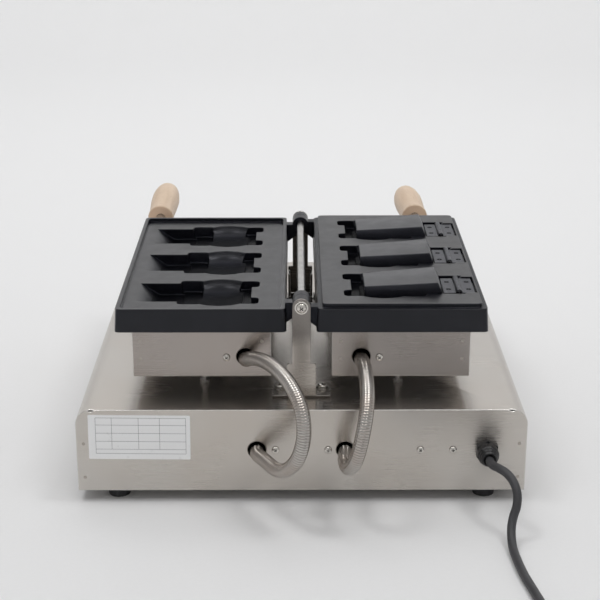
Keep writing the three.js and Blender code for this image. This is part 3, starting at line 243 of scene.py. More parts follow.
# Materials
class Look:
    """A material with one Principled shader, and calls that add procedural nodes to it."""

    def __init__(self, name, colour, roughness, metallic=0.0):
        self.material = bpy.data.materials.new(name)
        self.material.use_nodes = True
        self.tree = self.material.node_tree
        self.shader = self.tree.nodes["Principled BSDF"]
        self.set("Base Color", (*colour, 1))
        self.set("Roughness", roughness)
        self.set("Metallic", metallic)
        self.colour = colour

    def set(self, socket, value):
        self.feed(self.shader.inputs[socket], value)

    def feed(self, socket, value):
        if isinstance(value, bpy.types.NodeSocket):
            self.tree.links.new(value, socket)
        else:
            socket.default_value = value

    def add(self, kind, inputs=(), **settings):
        node = self.tree.nodes.new(kind)
        for name, value in settings.items():
            setattr(node, name, value)
        for key, value in dict(inputs).items():
            self.feed(node.inputs[key], value)
        return node

    def place(self):
        """The point on the object, in metres."""
        return self.add("ShaderNodeTexCoord").outputs["Object"]

    def facing(self):
        """The X, Y and Z of the surface's normal on the object."""
        return self.parts(self.add("ShaderNodeTexCoord").outputs["Normal"])

    def math(self, operation, a, b=0.0):
        return self.add("ShaderNodeMath", {0: a, 1: b}, operation=operation).outputs[0]

    def times(self, a, b):
        return self.math("MULTIPLY", a, b)

    def vector(self, operation, a, b):
        return self.add("ShaderNodeVectorMath", {0: a, 1: b}, operation=operation).outputs[0]

    def parts(self, vector):
        return self.add("ShaderNodeSeparateXYZ", {0: vector}).outputs

    def joined(self, x, y, z):
        return self.add("ShaderNodeCombineXYZ", {0: x, 1: y, 2: z}).outputs[0]

    def noise(self, place, scale, detail, roughness=0.55, distortion=0.0):
        inputs = {
            "Vector": place,
            "Scale": scale,
            "Detail": detail,
            "Roughness": roughness,
            "Distortion": distortion,
        }
        return self.add("ShaderNodeTexNoise", inputs).outputs["Fac"]

    def spread(self, value, low, high, to_low=0.0, to_high=1.0):
        """value carried from one range to another, held at its ends."""
        inputs = {"Value": value, "From Min": low, "From Max": high, "To Min": to_low, "To Max": to_high}
        return self.add("ShaderNodeMapRange", inputs).outputs["Result"]

    def blend(self, share, a, b):
        """Colour a at a share of 0, and b at a share of 1."""
        node = self.add("ShaderNodeMix", data_type="RGBA")
        for key, value in (("Factor_Float", share), ("A_Color", a), ("B_Color", b)):
            socket = next(s for s in node.inputs if s.identifier == key)
            self.feed(socket, (*value, 1) if isinstance(value, tuple) and len(value) == 3 else value)
        return next(s for s in node.outputs if s.identifier == "Result_Color")

    def bump(self, height, depth, strength, normal=None):
        node = self.add("ShaderNodeBump", {"Height": height, "Distance": depth, "Strength": strength})
        if normal is not None:
            self.feed(node.inputs["Normal"], normal)
        self.set("Normal", node.outputs["Normal"])

    def rounded(self, radius):
        """The surface's normal with its edges rounded by a radius."""
        return self.add("ShaderNodeBevel", {"Radius": radius}, samples=soft_samples).outputs["Normal"]

    def edges(self, radius):
        """1 on edges and 0 on faces."""
        plain = self.add("ShaderNodeNewGeometry").outputs["Normal"]
        normals = {0: self.rounded(radius), 1: plain}
        meet = self.add("ShaderNodeVectorMath", normals, operation="DOT_PRODUCT")
        return self.spread(meet.outputs["Value"], 0.995, 0.8)

    def open_sky(self, reach):
        """1 where nothing is within a reach of the surface, and less in hollows."""
        inputs = {"Distance": reach}
        return self.add("ShaderNodeAmbientOcclusion", inputs, samples=soft_samples).outputs["AO"]


def shaded(colour, by):
    return tuple(min(1.0, c * by) for c in colour)


def brushed_sheet(name, colour=(0.575, 0.545, 0.508), shade_from=None, shade_below=None, shade_above=None):
    """Stainless sheet with a fine grain along X and a painted highlight on its bends, or painted shade
    below a Z.
    Painted shade can also lie past a Y, or come in above a Z."""
    look = Look(name, colour, 0.3, 1.0)
    where = look.parts(look.place())
    upright = look.math("GREATER_THAN", look.math("ABSOLUTE", look.facing()["Y"]), 0.7)
    level = look.math("SUBTRACT", 1.0, upright)
    along = look.math("ADD", where["X"], where["Z"])
    across = look.math("ADD", look.times(where["Z"], upright), look.times(where["Y"], level))
    grain = look.joined(look.times(along, 14.0), look.times(across, 2400.0), 0.0)
    fine = look.noise(grain, 1.0, 3.0, 0.6)
    cloud = look.noise(look.place(), 6.0, 4.0, 0.6)
    tone = look.blend(look.spread(fine, 0.3, 0.7), shaded(colour, 0.95), shaded(colour, 1.05))
    clouded = tuple(c * w for c, w in zip(colour, (0.955, 0.925, 0.9)))
    warm = look.blend(look.spread(cloud, 0.42, 0.7), tone, clouded)
    smudge = look.spread(look.noise(look.place(), 14.0, 2.0, 0.5), 0.45, 0.75, 0.0, 0.025)
    if shade_from is not None:
        # Painted shade: past a Y, where the front post faces in between the plates, the sheet is painted
        # nearly black.
        shade_past = look.math("GREATER_THAN", where["Y"], shade_from)
        warm = look.blend(look.times(shade_past, 0.9), warm, (0.05, 0.042, 0.036))
    if shade_below is None:
        # Painted highlight: the bends are painted near white, as though lit.
        warm = look.blend(look.edges(sheet_bend_radius), warm, (0.97, 0.955, 0.93))
    else:
        # Painted shade: below a Z, the sheet is painted nearly black for the shade of the gap under the
        # post's foot.
        gap_shade = look.math("LESS_THAN", where["Z"], shade_below)
        warm = look.blend(look.times(gap_shade, 0.85), warm, (0.07, 0.062, 0.056))
    if shade_above is not None:
        # Painted shade: from a Z upward the sheet is painted darker, up the post towards the shaft.
        top_shade = look.spread(where["Z"], shade_above, shade_above + post_shade_reach, 0.0, 0.62)
        warm = look.blend(top_shade, warm, (0.1, 0.09, 0.085))
    look.set("Base Color", warm)
    look.set("Roughness", look.math("ADD", look.spread(fine, 0.3, 0.7, 0.25, 0.268), smudge))
    look.set("Anisotropic", 0.6)
    stretch = look.add(
        "ShaderNodeVectorTransform",
        {0: look.joined(0.0, level, upright)},
        vector_type="VECTOR",
        convert_from="OBJECT",
        convert_to="WORLD",
    )
    look.set("Tangent", stretch.outputs[0])
    look.bump(fine, 0.00001, 0.08, look.rounded(sheet_bend_radius))
    return look.material


def bright_metal(name, colour, roughness, shade_reach=None):
    """Turned or plated steel with fine marks, a little tarnish, and painted shade in its recesses."""
    look = Look(name, colour, roughness, 1.0)
    marks = look.noise(look.place(), 900.0, 4.0, 0.65)
    tarnish = look.noise(look.place(), 90.0, 4.0, 0.6)
    tone = look.blend(look.spread(tarnish, 0.45, 0.75), colour, shaded(colour, 0.72))
    if shade_reach is not None:
        # Painted shade: near black where the surface is hemmed in.
        tone = look.blend(look.spread(look.open_sky(shade_reach), 0.4, 0.95), (0.03, 0.027, 0.024), tone)
    look.set("Base Color", tone)
    look.set("Roughness", look.spread(marks, 0.3, 0.7, roughness * 0.8, roughness * 1.5))
    look.bump(marks, 0.00003, 0.5, look.rounded(turned_edge_radius))
    return look.material


def hose_metal():
    """Ribbed steel conduit: bright crests, and dark, brownish painted shade in its grooves."""
    look = Look("conduit_steel", (0.5, 0.476, 0.447), 0.16, 1.0)
    open_sky = look.open_sky(groove_shade_reach)
    tint = look.noise(look.place(), 34.0, 4.0, 0.6)
    crest = look.blend(look.spread(tint, 0.4, 0.68), look.colour, (0.43, 0.38, 0.34))
    # Painted shade in the grooves.
    look.set("Base Color", look.blend(look.spread(open_sky, 0.5, 1.0), (0.1, 0.08, 0.07), crest))
    fine = look.noise(look.place(), 1400.0, 3.0)
    look.set("Roughness", look.spread(fine, 0.3, 0.7, 0.13, 0.2))
    look.bump(fine, 0.00001, 0.3)
    return look.material


def coated_casting(name, colour, hollow=mould_floor, rim=mould_rim):
    """Dark satin non-stick coat over a casting, with wear and a painted highlight along its edges.
    Painted shade cuts its reflection in its hollows, in corners, by the shaft and on faces that don't
    face up, and makes its hollows more metallic; in the hollows it thins out up to the height of its
    rim."""
    look = Look(name, colour, 0.34)
    spray = look.noise(look.place(), 1700.0, 3.0, 0.6)
    skin = look.noise(look.place(), 240.0, 4.0, 0.6)
    patch = look.noise(look.place(), 16.0, 4.0, 0.55)
    tone = look.blend(look.spread(patch, 0.35, 0.7), shaded(colour, 0.82), shaded(colour, 1.3))
    speck = look.spread(look.noise(look.place(), 620.0, 2.0), 0.74, 0.8)
    dusted = look.blend(look.times(speck, 0.3), tone, (0.05, 0.05, 0.052))
    # Wear and painted highlight: the edges are painted lighter in patches.
    rub = look.times(look.edges(casting_rub_highlight_radius), look.spread(skin, 0.35, 0.65, 0.15, 0.6))
    look.set("Base Color", look.blend(rub, dusted, (0.03, 0.031, 0.036)))
    open_sky = look.open_sky(mould_shade_reach)
    matt = look.spread(look.noise(look.place(), 60.0, 4.0), 0.3, 0.7, 0.33, 0.42)
    look.set("Roughness", look.times(matt, look.spread(open_sky, 0.6, 0.92, 0.45, 1.0)))
    # Painted shade: the reflection is cut in hollows below the rim, in corners, near the shaft and on
    # faces that don't face up, and the hollows are made more metallic.
    upward = look.facing()["Z"]
    where = look.parts(look.place())
    raised = look.spread(where["Z"], hollow, rim, 0.1)
    out_of_mould = look.math("MAXIMUM", raised, look.spread(upward, 0.5, 0.2))
    off_shaft = look.spread(look.math("ABSOLUTE", where["X"]), shaft_dark_near, shaft_dark_far, 0.1, 1.0)
    open_share = look.times(look.spread(open_sky, 0.62, 0.93), look.times(out_of_mould, off_shaft))
    painted_sheen = look.times(open_share, look.spread(upward, 0.2, 0.85, 0.3, 1.0))
    look.set("Specular Tint", look.blend(painted_sheen, (0.2, 0.21, 0.25), (1.0, 1.0, 1.0)))
    look.set("Metallic", look.spread(out_of_mould, 0.1, 1.0, 0.72, 0.0))
    look.set("IOR", 1.72)
    coat = look.math("ADD", look.times(spray, 0.45), skin)
    look.bump(coat, 0.00005, 0.35, look.rounded(casting_edge_radius))
    return look.material


def beech(name, corner):
    """Pale turned beech: long grain along the handle, short dark flecks, and warmer end grain painted
    lighter as painted light.
    """
    look = Look(name, (0.6, 0.452, 0.322), 0.5)
    where = look.parts(look.vector("SUBTRACT", look.place(), corner))
    stretched = look.joined(where["X"], look.times(where["Y"], 0.08), where["Z"])
    ripple = look.noise(stretched, 70.0, 3.0, 0.5, 0.6)
    rings = look.add(
        "ShaderNodeTexWave",
        {"Vector": stretched, "Scale": 46.0, "Distortion": 3.5, "Detail": 3.0, "Detail Scale": 2.0},
        wave_type="BANDS",
        bands_direction="DIAGONAL",
    ).outputs["Fac"]
    shorter = look.joined(where["X"], look.times(where["Y"], 0.12), where["Z"])
    pores = look.noise(shorter, 1500.0, 2.0)
    base = look.blend(look.times(rings, 0.45), look.colour, (0.52, 0.36, 0.235))
    cloud = look.blend(look.spread(ripple, 0.35, 0.7), base, (0.73, 0.58, 0.44))
    flecked = look.blend(look.spread(pores, 0.62, 0.7, 0.0, 0.5), cloud, (0.36, 0.21, 0.12))
    # Painted light: the ends are painted lighter as well as warmer, to make up for the light they lack.
    end_grain_and_light = look.spread(look.math("ABSOLUTE", look.facing()["Y"]), 0.55, 0.98, 0.0, 0.75)
    look.set("Base Color", look.blend(end_grain_and_light, flecked, (0.82, 0.58, 0.41)))
    look.set("Roughness", look.spread(ripple, 0.3, 0.7, 0.42, 0.58))
    look.set("Coat Weight", 0.08)
    look.set("Coat Roughness", 0.35)
    look.bump(look.math("ADD", look.times(pores, -0.6), rings), 0.00012, 0.3)
    return look.material


def plastic(name, colour, roughness, grain=1200.0, depth=0.00006, coat=0.0):
    """Moulded plastic or rubber with a fine skin, faint flow marks and lighter rubbed edges."""
    look = Look(name, colour, roughness)
    skin = look.noise(look.place(), grain, 3.0, 0.6)
    flow = look.noise(look.place(), 55.0, 4.0, 0.55)
    tone = look.blend(look.spread(flow, 0.35, 0.7), shaded(colour, 0.85), shaded(colour, 1.2))
    rub = look.times(look.edges(plastic_rub_radius), 0.35)
    look.set("Base Color", look.blend(rub, tone, shaded(tuple(c + 0.03 for c in colour), 1.7)))
    look.set("Roughness", look.spread(flow, 0.3, 0.7, roughness * 0.88, roughness * 1.15))
    look.set("Coat Weight", coat)
    look.bump(skin, depth, 0.5, look.rounded(plastic_edge_radius))
    return look.material


def lens(name, colour):
    """Translucent lamp lens with a fine prismatic pattern."""
    look = Look(name, colour, 0.16)
    cells = {"Vector": look.place(), "Scale": 620.0}
    prisms = look.add("ShaderNodeTexVoronoi", cells).outputs["Distance"]
    depth = look.spread(look.noise(look.place(), 180.0, 3.0), 0.3, 0.7)
    look.set("Base Color", look.blend(depth, shaded(colour, 0.7), shaded(colour, 1.25)))
    look.set("Roughness", look.spread(prisms, 0.1, 0.6, 0.1, 0.26))
    look.set("Transmission Weight", 0.25)
    look.bump(prisms, 0.0003, 0.4)
    return look.material


def heat_tinted():
    """Heater sheath, straw and grey from the heat."""
    look = Look("element_sheath", (0.33, 0.3, 0.27), 0.42, 1.0)
    tint = look.noise(look.place(), 45.0, 5.0, 0.65)
    grain = look.noise(look.place(), 1000.0, 3.0)
    look.set("Base Color", look.blend(look.spread(tint, 0.35, 0.68), look.colour, (0.27, 0.2, 0.15)))
    look.set("Roughness", look.spread(grain, 0.3, 0.7, 0.35, 0.55))
    look.bump(grain, 0.00006, 0.5)
    return look.material


def glazed_ceramic():
    look = Look("terminal_ceramic", (0.8, 0.77, 0.7), 0.3)
    speck = look.noise(look.place(), 700.0, 2.0)
    cloud = look.noise(look.place(), 70.0, 3.0)
    tone = look.blend(look.spread(cloud, 0.35, 0.7), look.colour, (0.72, 0.68, 0.6))
    look.set("Base Color", look.blend(look.spread(speck, 0.7, 0.78, 0.0, 0.5), tone, (0.42, 0.36, 0.28)))
    look.set("Roughness", look.spread(cloud, 0.3, 0.7, 0.22, 0.36))
    look.bump(cloud, 0.0002, 0.3)
    return look.material


def printed(name, colour):
    """Thin matt print."""
    look = Look(name, colour, 0.6)
    wear = look.noise(look.place(), 1300.0, 3.0)
    worn = look.spread(wear, 0.55, 0.75, 0.0, 0.5)
    look.set("Base Color", look.blend(worn, colour, shaded(colour, 0.75)))
    look.set("Roughness", look.spread(wear, 0.3, 0.7, 0.5, 0.7))
    return look.material


def label_film():
    """White label film with soft creases and a few grey scuffs."""
    look = Look("label_film", (0.92, 0.922, 0.924), 0.42)
    crease = look.noise(look.place(), 60.0, 3.0, 0.5, 0.8)
    scuff = look.spread(look.noise(look.place(), 130.0, 5.0, 0.7), 0.62, 0.74, 0.0, 0.35)
    look.set("Base Color", look.blend(scuff, look.colour, (0.5, 0.5, 0.5)))
    look.set("Roughness", look.spread(crease, 0.3, 0.7, 0.34, 0.5))
    look.bump(crease, 0.0004, 0.25)
    return look.material


def sunk_black():
    """Blackened screw heads sunk in their holes, with their reflection cut as painted shade of the
    holes.
    """
    look = Look("sunk_black", (0.004, 0.004, 0.005), 0.7)
    look.set("Specular IOR Level", 0.08)
    return look.material


finishes = {
    "stainless_sheet": brushed_sheet("stainless_sheet"),
    "bright_steel": bright_metal("bright_steel", (0.54, 0.53, 0.515), 0.22),
    "coated_casting": coated_casting("coated_casting", (0.006, 0.0062, 0.0088)),
    "black_plastic": plastic("black_plastic", (0.0105, 0.0105, 0.0115), 0.38),
    "black_rubber": plastic("black_rubber", (0.024, 0.024, 0.026), 0.55, 900.0, 0.0001),
    "grey_plastic": plastic("grey_plastic", (0.22, 0.225, 0.235), 0.5),
    "red_lens": lens("red_lens", (0.42, 0.012, 0.01)),
    "amber_lens": lens("amber_lens", (0.55, 0.16, 0.012)),
    "terminal_ceramic": glazed_ceramic(),
    "element_sheath": heat_tinted(),
}
hose_finish = hose_metal()
lead_sheath = plastic("lead_sheath", (0.042, 0.042, 0.046), 0.5, 900.0, 0.00006)
leaf_steel = bright_metal("leaf_steel", (0.1, 0.102, 0.114), 0.36, hinge_shade_reach)
pin_steel = bright_metal("pin_steel", (0.3, 0.3, 0.31), 0.24, hinge_shade_reach)
# Painted shade: the covers get a darker copy of the stainless sheet.
shaded_cover_sheet = brushed_sheet("shaded_cover_sheet", (0.4, 0.365, 0.34))
# Painted light: the inserts get a lighter copy of the coat.
insert_coat = coated_casting("insert_coat", (0.022, 0.0225, 0.028))
own_finishes = {
    "male_mould_plate": coated_casting("male_coat", (0.006, 0.0062, 0.0088), male_hollow, leaf_top),
    # The rear post gets a darker copy of the sheet colour as painted shade, with painted shade under its
    # foot and up towards the shaft.
    "rear_post": brushed_sheet(
        "rear_post_sheet",
        (0.53, 0.5, 0.465),
        shade_below=foot_top - foot_shade_gap,
        shade_above=axis_height - post_shade_drop,
    ),
    # Painted shade on the front post's face between the plates.
    "front_post": brushed_sheet("front_post_sheet", shade_from=front_post_face + post_shade_gap),
    "power_rocker": plastic("rocker_red", (0.34, 0.014, 0.012), 0.3, 900.0, 0.00004, 0.2),
}
for side in plate_bodies:
    own_finishes[f"{side}_heater_cover"] = shaded_cover_sheet
    own_finishes[f"{side}_handle_grip"] = beech(f"{side}_beech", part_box(f"{side}_handle_grip")[0])
for row in rows:
    own_finishes[f"core_insert_{row}"] = insert_coat
    own_finishes[f"insert_leaf_{row}"] = leaf_steel
    own_finishes[f"plate_leaf_{row}"] = leaf_steel
    own_finishes[f"hinge_pin_{row}"] = pin_steel
white_print = printed("white_print", (0.78, 0.78, 0.76))
dark_print = printed("dark_print", (0.03, 0.03, 0.033))
ruling_print = printed("ruling_print", (0.2, 0.2, 0.21))
film = label_film()
spot_mark = bright_metal("spot_mark", (0.46, 0.42, 0.38), 0.38)
screw_finish = bright_metal("screw_steel", (0.74, 0.71, 0.66), 0.16, screw_shade_reach)
leaf_screw_finish = sunk_black()


# Shapes: each is its points and its faces
def turned(profile, sides):
    """A profile of (radius, height) turned round Z; a radius of zero closes an end."""
    points, rings = [], []
    for radius, height in profile:
        count = sides if radius else 1
        rings.append(range(len(points), len(points) + count))
        for k in range(count):
            turn = math.tau * k / count
            points.append((radius * math.cos(turn), radius * math.sin(turn), height))
    faces = []
    for low, high in zip(rings, rings[1:]):
        for k in range(sides):
            after = (k + 1) % sides
            places = ((low, k), (low, after), (high, after), (high, k))
            corners = [ring[place % len(ring)] for ring, place in places]
            faces.append(list(dict.fromkeys(corners)))
    return points, faces


def ring_faces(rings, sides, closed):
    """The faces between rings of points; closed joins the last ring to the first."""
    faces = []
    for ring in range(rings if closed else rings - 1):
        here, there = ring * sides, (ring + 1) % rings * sides
        for k in range(sides):
            after = (k + 1) % sides
            faces.append([here + k, here + after, there + after, there + k])
    return faces


def slab(outline, low, high):
    """A flat outline given thickness along Z."""
    count = len(outline)
    points = [(x, y, z) for z in (low, high) for x, y in outline]
    faces = [list(range(count))[::-1], list(range(count, 2 * count))]
    faces += [[k, (k + 1) % count, count + (k + 1) % count, count + k] for k in range(count)]
    return points, faces


def rectangle(width, height, across=0.0, up=0.0):
    corners = ((-1, -1), (1, -1), (1, 1), (-1, 1))
    return [(across + sx * width / 2, up + sy * height / 2) for sx, sy in corners]


def together(shapes):
    points, faces = [], []
    for more_points, more_faces in shapes:
        faces += [[k + len(points) for k in face] for face in more_faces]
        points += [tuple(p) for p in more_points]
    return points, faces


def moved(shape, matrix):
    points, faces = shape
    return [tuple(matrix @ Vector(p)) for p in points], faces


def aimed(place, direction, spin=0.0):
    """The matrix that puts a shape built up Z at a place, facing a direction."""
    turn = Vector((0, 0, 1)).rotation_difference(Vector(direction)).to_matrix().to_4x4()
    return Matrix.Translation(place) @ turn @ Matrix.Rotation(spin, 4, "Z")


def linked(name, data):
    """A new object of its data, in the scene."""
    made = bpy.data.objects.new(name, data)
    scene.collection.objects.link(made)
    return made


def piece(name, shape, finish, body, smooth=crisp_angle):
    """A new object of a shape, in its finish, which moves with a body."""
    mesh = bpy.data.meshes.new(name)
    mesh.from_pydata(shape[0], [], shape[1])
    mesh.shade_smooth()
    mesh.set_sharp_from_angle(angle=math.radians(smooth))
    mesh.materials.append(finish)
    made = linked(name, mesh)
    if body:
        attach(made, body)
    return made


def cut_out(shape, tool):
    """The shape with the tool's shape cut out of it."""
    pair = [piece(name, part, None, None) for name, part in (("block", shape), ("tool", tool))]
    cut = pair[0].modifiers.new("cut", "BOOLEAN")
    cut.operation = "DIFFERENCE"
    cut.solver = "EXACT"
    cut.object = pair[1]
    mesh = pair[0].evaluated_get(bpy.context.evaluated_depsgraph_get()).to_mesh()
    made = [tuple(v.co) for v in mesh.vertices], [list(p.vertices) for p in mesh.polygons]
    for done in pair:
        bpy.data.objects.remove(done)
    return made


def cross_tool(reach, half, depth, top):
    """A cross-headed driver's tip, which tapers down to its depth."""
    arm = [(half, -reach), (half, -half), (reach, -half)]
    outline = []
    for _ in range(4):
        outline += arm
        arm = [(-y, x) for x, y in arm]
    points, faces = slab(outline, top - depth, top + depth)
    points = [(x * cross_taper, y * cross_taper, z) if z < top else (x, y, z) for x, y, z in points]
    return points, faces


# Fastener heads, of radius 1 before they are scaled, and the turns between one head's cross and the next
cross_taper = 0.55
first_turn = 0.7
next_turn = 2.4
pan_profile = [
    (0, -0.3),
    (0.55, -0.3),
    (0.55, 0),
    (0.96, 0),
    (1, 0.06),
    (1, 0.2),
    (0.95, 0.34),
    (0.84, 0.45),
    (0.66, 0.54),
    (0.4, 0.6),
    (0, 0.62),
]
pan_cross = cross_tool(reach=0.6, half=0.15, depth=0.42, top=0.62)
pan_head = cut_out(turned(pan_profile, head_sides), pan_cross)
flat_profile = [(0, -0.4), (0.5, -0.4), (0.97, -0.04), (1, 0), (0.9, 0.03), (0, 0.03)]
flat_cross = cross_tool(reach=0.62, half=0.15, depth=0.3, top=0.03)
flat_head = cut_out(turned(flat_profile, head_sides), flat_cross)
washer_profile = [(0.6, 0), (1.34, 0), (1.42, 0.04), (1.42, 0.13), (1.36, 0.17), (0.6, 0.17), (0.6, 0)]
washer = turned(washer_profile, head_sides)
spring_profile = [(0.62, 0.17), (1.12, 0.17), (1.16, 0.22), (1.16, 0.36), (1.1, 0.4), (0.62, 0.4)]
spring_washer = turned(spring_profile, head_sides)


def heads(shape, radius, places, direction):
    """One head of a radius at each place, each turned its own way as a hand leaves it."""
    made = []
    for k, place in enumerate(places):
        matrix = aimed(place, direction, first_turn + next_turn * k) @ Matrix.Scale(radius, 4)
        made.append(moved(shape, matrix))
    return together(made)


# The carried-over solids: joined corners, smooth shading and the finishes
def joined_smooth(angle):
    """Joins the corners of a solid and shades its faces as one where they meet within an angle."""
    tree = bpy.data.node_groups.new("joined_smooth", "GeometryNodeTree")
    tree.interface.new_socket("Geometry", in_out="INPUT", socket_type="NodeSocketGeometry")
    tree.interface.new_socket("Geometry", in_out="OUTPUT", socket_type="NodeSocketGeometry")
    source = tree.nodes.new("NodeGroupInput").outputs[0]
    for name in ("custom_normal", "sharp_edge", "sharp_face"):
        drop = tree.nodes.new("GeometryNodeRemoveAttribute")
        drop.inputs["Name"].default_value = name
        tree.links.new(source, drop.inputs["Geometry"])
        source = drop.outputs["Geometry"]
    join = tree.nodes.new("GeometryNodeMergeByDistance")
    join.inputs["Distance"].default_value = join_distance
    tree.links.new(source, join.inputs["Geometry"])
    corner = tree.nodes.new("GeometryNodeInputMeshEdgeAngle")
    shallow = tree.nodes.new("FunctionNodeCompare")
    shallow.operation = "LESS_THAN"
    shallow.inputs[1].default_value = math.radians(angle)
    tree.links.new(corner.outputs["Unsigned Angle"], shallow.inputs[0])
    faces = tree.nodes.new("GeometryNodeSetShadeSmooth")
    faces.domain = "FACE"
    faces.inputs["Shade Smooth"].default_value = True
    tree.links.new(join.outputs["Geometry"], faces.inputs["Geometry"])
    edges = tree.nodes.new("GeometryNodeSetShadeSmooth")
    edges.domain = "EDGE"
    tree.links.new(faces.outputs["Geometry"], edges.inputs["Geometry"])
    tree.links.new(shallow.outputs[0], edges.inputs["Shade Smooth"])
    tree.links.new(edges.outputs["Geometry"], tree.nodes.new("NodeGroupOutput").inputs[0])
    return tree


solid_tree = joined_smooth(solid_angle)
insert_tree = joined_smooth(insert_angle)
for name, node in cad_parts.items():
    tree = insert_tree if name.startswith("core_insert") else solid_tree
    node.modifiers.new("joined_smooth", "NODES").node_group = tree
    for part_slot in node.material_slots:
        kind = part_slot.name.split(".")[0]
        part_slot.material = own_finishes[name] if name in own_finishes else finishes[kind]


# Conduits
def eased(line, reach):
    """The line with its small wobbles smoothed over a reach, and its ends kept."""
    step = line_length(line) / (len(line) - 1)
    wide = round(3 * reach / step)
    weights = np.exp(-0.5 * (np.arange(-wide, wide + 1) * step / reach) ** 2)
    weights /= weights.sum()
    before = line[0] + (line[0] - line[1]) * np.arange(wide, 0, -1)[:, None]
    after = line[-1] + (line[-1] - line[-2]) * np.arange(1, wide + 1)[:, None]
    padded = np.vstack([before, line, after])
    return np.stack([np.convolve(padded[:, axis], weights, "valid") for axis in range(3)], axis=1)


def hose_line(side):
    """The middle of a hose, from inside the rear panel to inside its plate's cover."""
    panel_x, cover_x = hose_ends[side]
    runs = (-hose_inside, hose_diameter / 2 - hose_inside, hose_diameter - hose_inside)
    start = [(panel_x, rear_face + behind, hose_panel_height) for behind in runs]
    middle = [(x, rear_face + behind, z) for x, behind, z in hose_routes[side]]
    end = [(cover_x, cover_rear + behind, hose_cover_height) for behind in reversed(runs)]
    return eased(smooth_line(start + middle + end, hose_line_step), hose_ease)


def ribbed_tube(line):
    """A hose round a line, with shallow ribs outside and a plain bore."""
    length = line_length(line)
    ribs = round(length / hose_pitch)
    pitch = length / ribs
    stations = [(k + share) * pitch for k in range(ribs) for share, _ in hose_ring_shares] + [length]
    depths = [share for _ in range(ribs) for _, share in hose_ring_shares] + [1.0]
    along = np.concatenate([[0], np.cumsum(np.linalg.norm(np.diff(line, axis=0), axis=1))])
    centres = np.stack([np.interp(stations, along, line[:, axis]) for axis in range(3)], axis=1)
    ways = np.gradient(centres, axis=0)
    ways /= np.linalg.norm(ways, axis=1)[:, None]
    side = np.array((1.0, 0.0, 0.0))
    turns = np.arange(hose_sides) * math.tau / hose_sides
    rings = []
    for centre, way in zip(centres, ways):
        side = side - way * (side @ way)
        side /= np.linalg.norm(side)
        rings.append((centre, side, np.cross(way, side)))
    walls = [(ring, hose_diameter / 2 - hose_groove * depth) for ring, depth in zip(rings, depths)]
    walls += [(ring, hose_bore / 2) for ring in rings[::-hose_ring_skip]]
    points = []
    for (centre, u, v), reach in walls:
        for turn in turns:
            points.append(tuple(centre + reach * (math.cos(turn) * u + math.sin(turn) * v)))
    return points, ring_faces(len(walls), hose_sides, closed=True)


for side, body in plate_bodies.items():
    line = hose_line(side)
    hose = piece(f"{side}_hose", ribbed_tube(line), hose_finish, None, round_angle)
    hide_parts(f"{side}_conduit")
    panel_x, cover_x = hose_ends[side]
    # The point held by the plate lies on the upper arc: half of the reach goes up to it and half of it
    # in towards the cover
    reach = (rear_face - cover_rear + hose_cover_height - hose_panel_height) / 2
    held = [
        ("base", (panel_x, rear_face, hose_panel_height)),
        (body, (panel_x, rear_face - reach, hose_panel_height + reach)),
    ]
    # At a half turn the bend goes one way only, so the female hose's held points are listed from its
    # plate down
    (first, start), (last, end) = reversed(held) if side == "female" else held
    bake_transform(hose)

# Mains lead
route = [(gland_across + x, rear_face + behind, z) for x, behind, z in lead_route]
for k in range(1, round(coil_turns * coil_steps_per_turn) + 1):
    t = k / coil_steps_per_turn
    middle = coil_turns / 2
    radius = coil_radius - coil_pitch * (middle - abs(t - middle))
    climb = min(1.0, max(0.0, (t - middle) / coil_climb_turns + 0.5))
    angle = math.pi - math.tau * t
    route.append(
        (
            coil_centre[0] + radius * math.cos(angle),
            rear_face + coil_centre[1] + radius * math.sin(angle),
            lead_diameter / 2 + coil_pitch * climb,
        )
    )
last = route[-1]
route += [(last[0] + coil_tail * share, last[1], last[2]) for share in coil_tail_shares]
lead_line = smooth_line(route, lead_step)
curve = bpy.data.curves.new("mains_lead", "CURVE")
curve.dimensions = "3D"
curve.bevel_depth = lead_diameter / 2
curve.bevel_resolution = lead_roundness
curve.use_fill_caps = True
spline = curve.splines.new("POLY")
spline.points.add(len(lead_line) - 1)
spline.points.foreach_set("co", np.hstack([lead_line, np.ones((len(lead_line), 1))]).ravel())
curve.materials.append(lead_sheath)
lead = linked("mains_lead", curve)
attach(lead, "base")
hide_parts("power_cord", "power_cord_coil")

# Screws of the shaft and the posts, over the solids' own
shaft_head_radius = 0.0047
shaft_washer_share = 0.98
shaft_washer_height = 0.0008
shaft_seats = {"rear": (rear_post_face, 1), "front": (front_post_face, -1)}
for end, (seat, way) in shaft_seats.items():
    seated = Vector((0, seat, axis_height))
    outward = Vector((0, way, 0))
    washer_scale = Matrix.Scale(shaft_head_radius * shaft_washer_share, 4)
    stack = [
        moved(washer, aimed(seated, outward) @ washer_scale),
        heads(pan_head, shaft_head_radius, [seated + outward * shaft_washer_height], outward),
    ]
    name = f"{end}_shaft_phillips"
    screw = piece(name, together(stack), screw_finish, "base")
    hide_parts(f"{end}_shaft_screw")

post_bolt_radius = 0.0046
post_head_share = 0.4
for end in ("rear", "front"):
    for side, way in (("left", 1), ("right", -1)):
        low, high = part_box(f"{end}_post_bolt_{side}")
        seated = Vector(((low.x + high.x) / 2, (low.y + high.y) / 2, foot_top))
        up = Vector((0, 0, 1))
        scale = Matrix.Scale(post_bolt_radius, 4)
        stack = [
            moved(washer, Matrix.Translation(seated) @ scale),
            moved(spring_washer, Matrix.Translation(seated) @ scale),
            heads(pan_head, post_bolt_radius, [seated + up * post_bolt_radius * post_head_share], up),
        ]
        name = f"{end}_post_screw_{side}"
        bolt = piece(name, together(stack), screw_finish, "base")
        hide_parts(f"{end}_post_bolt_{side}")

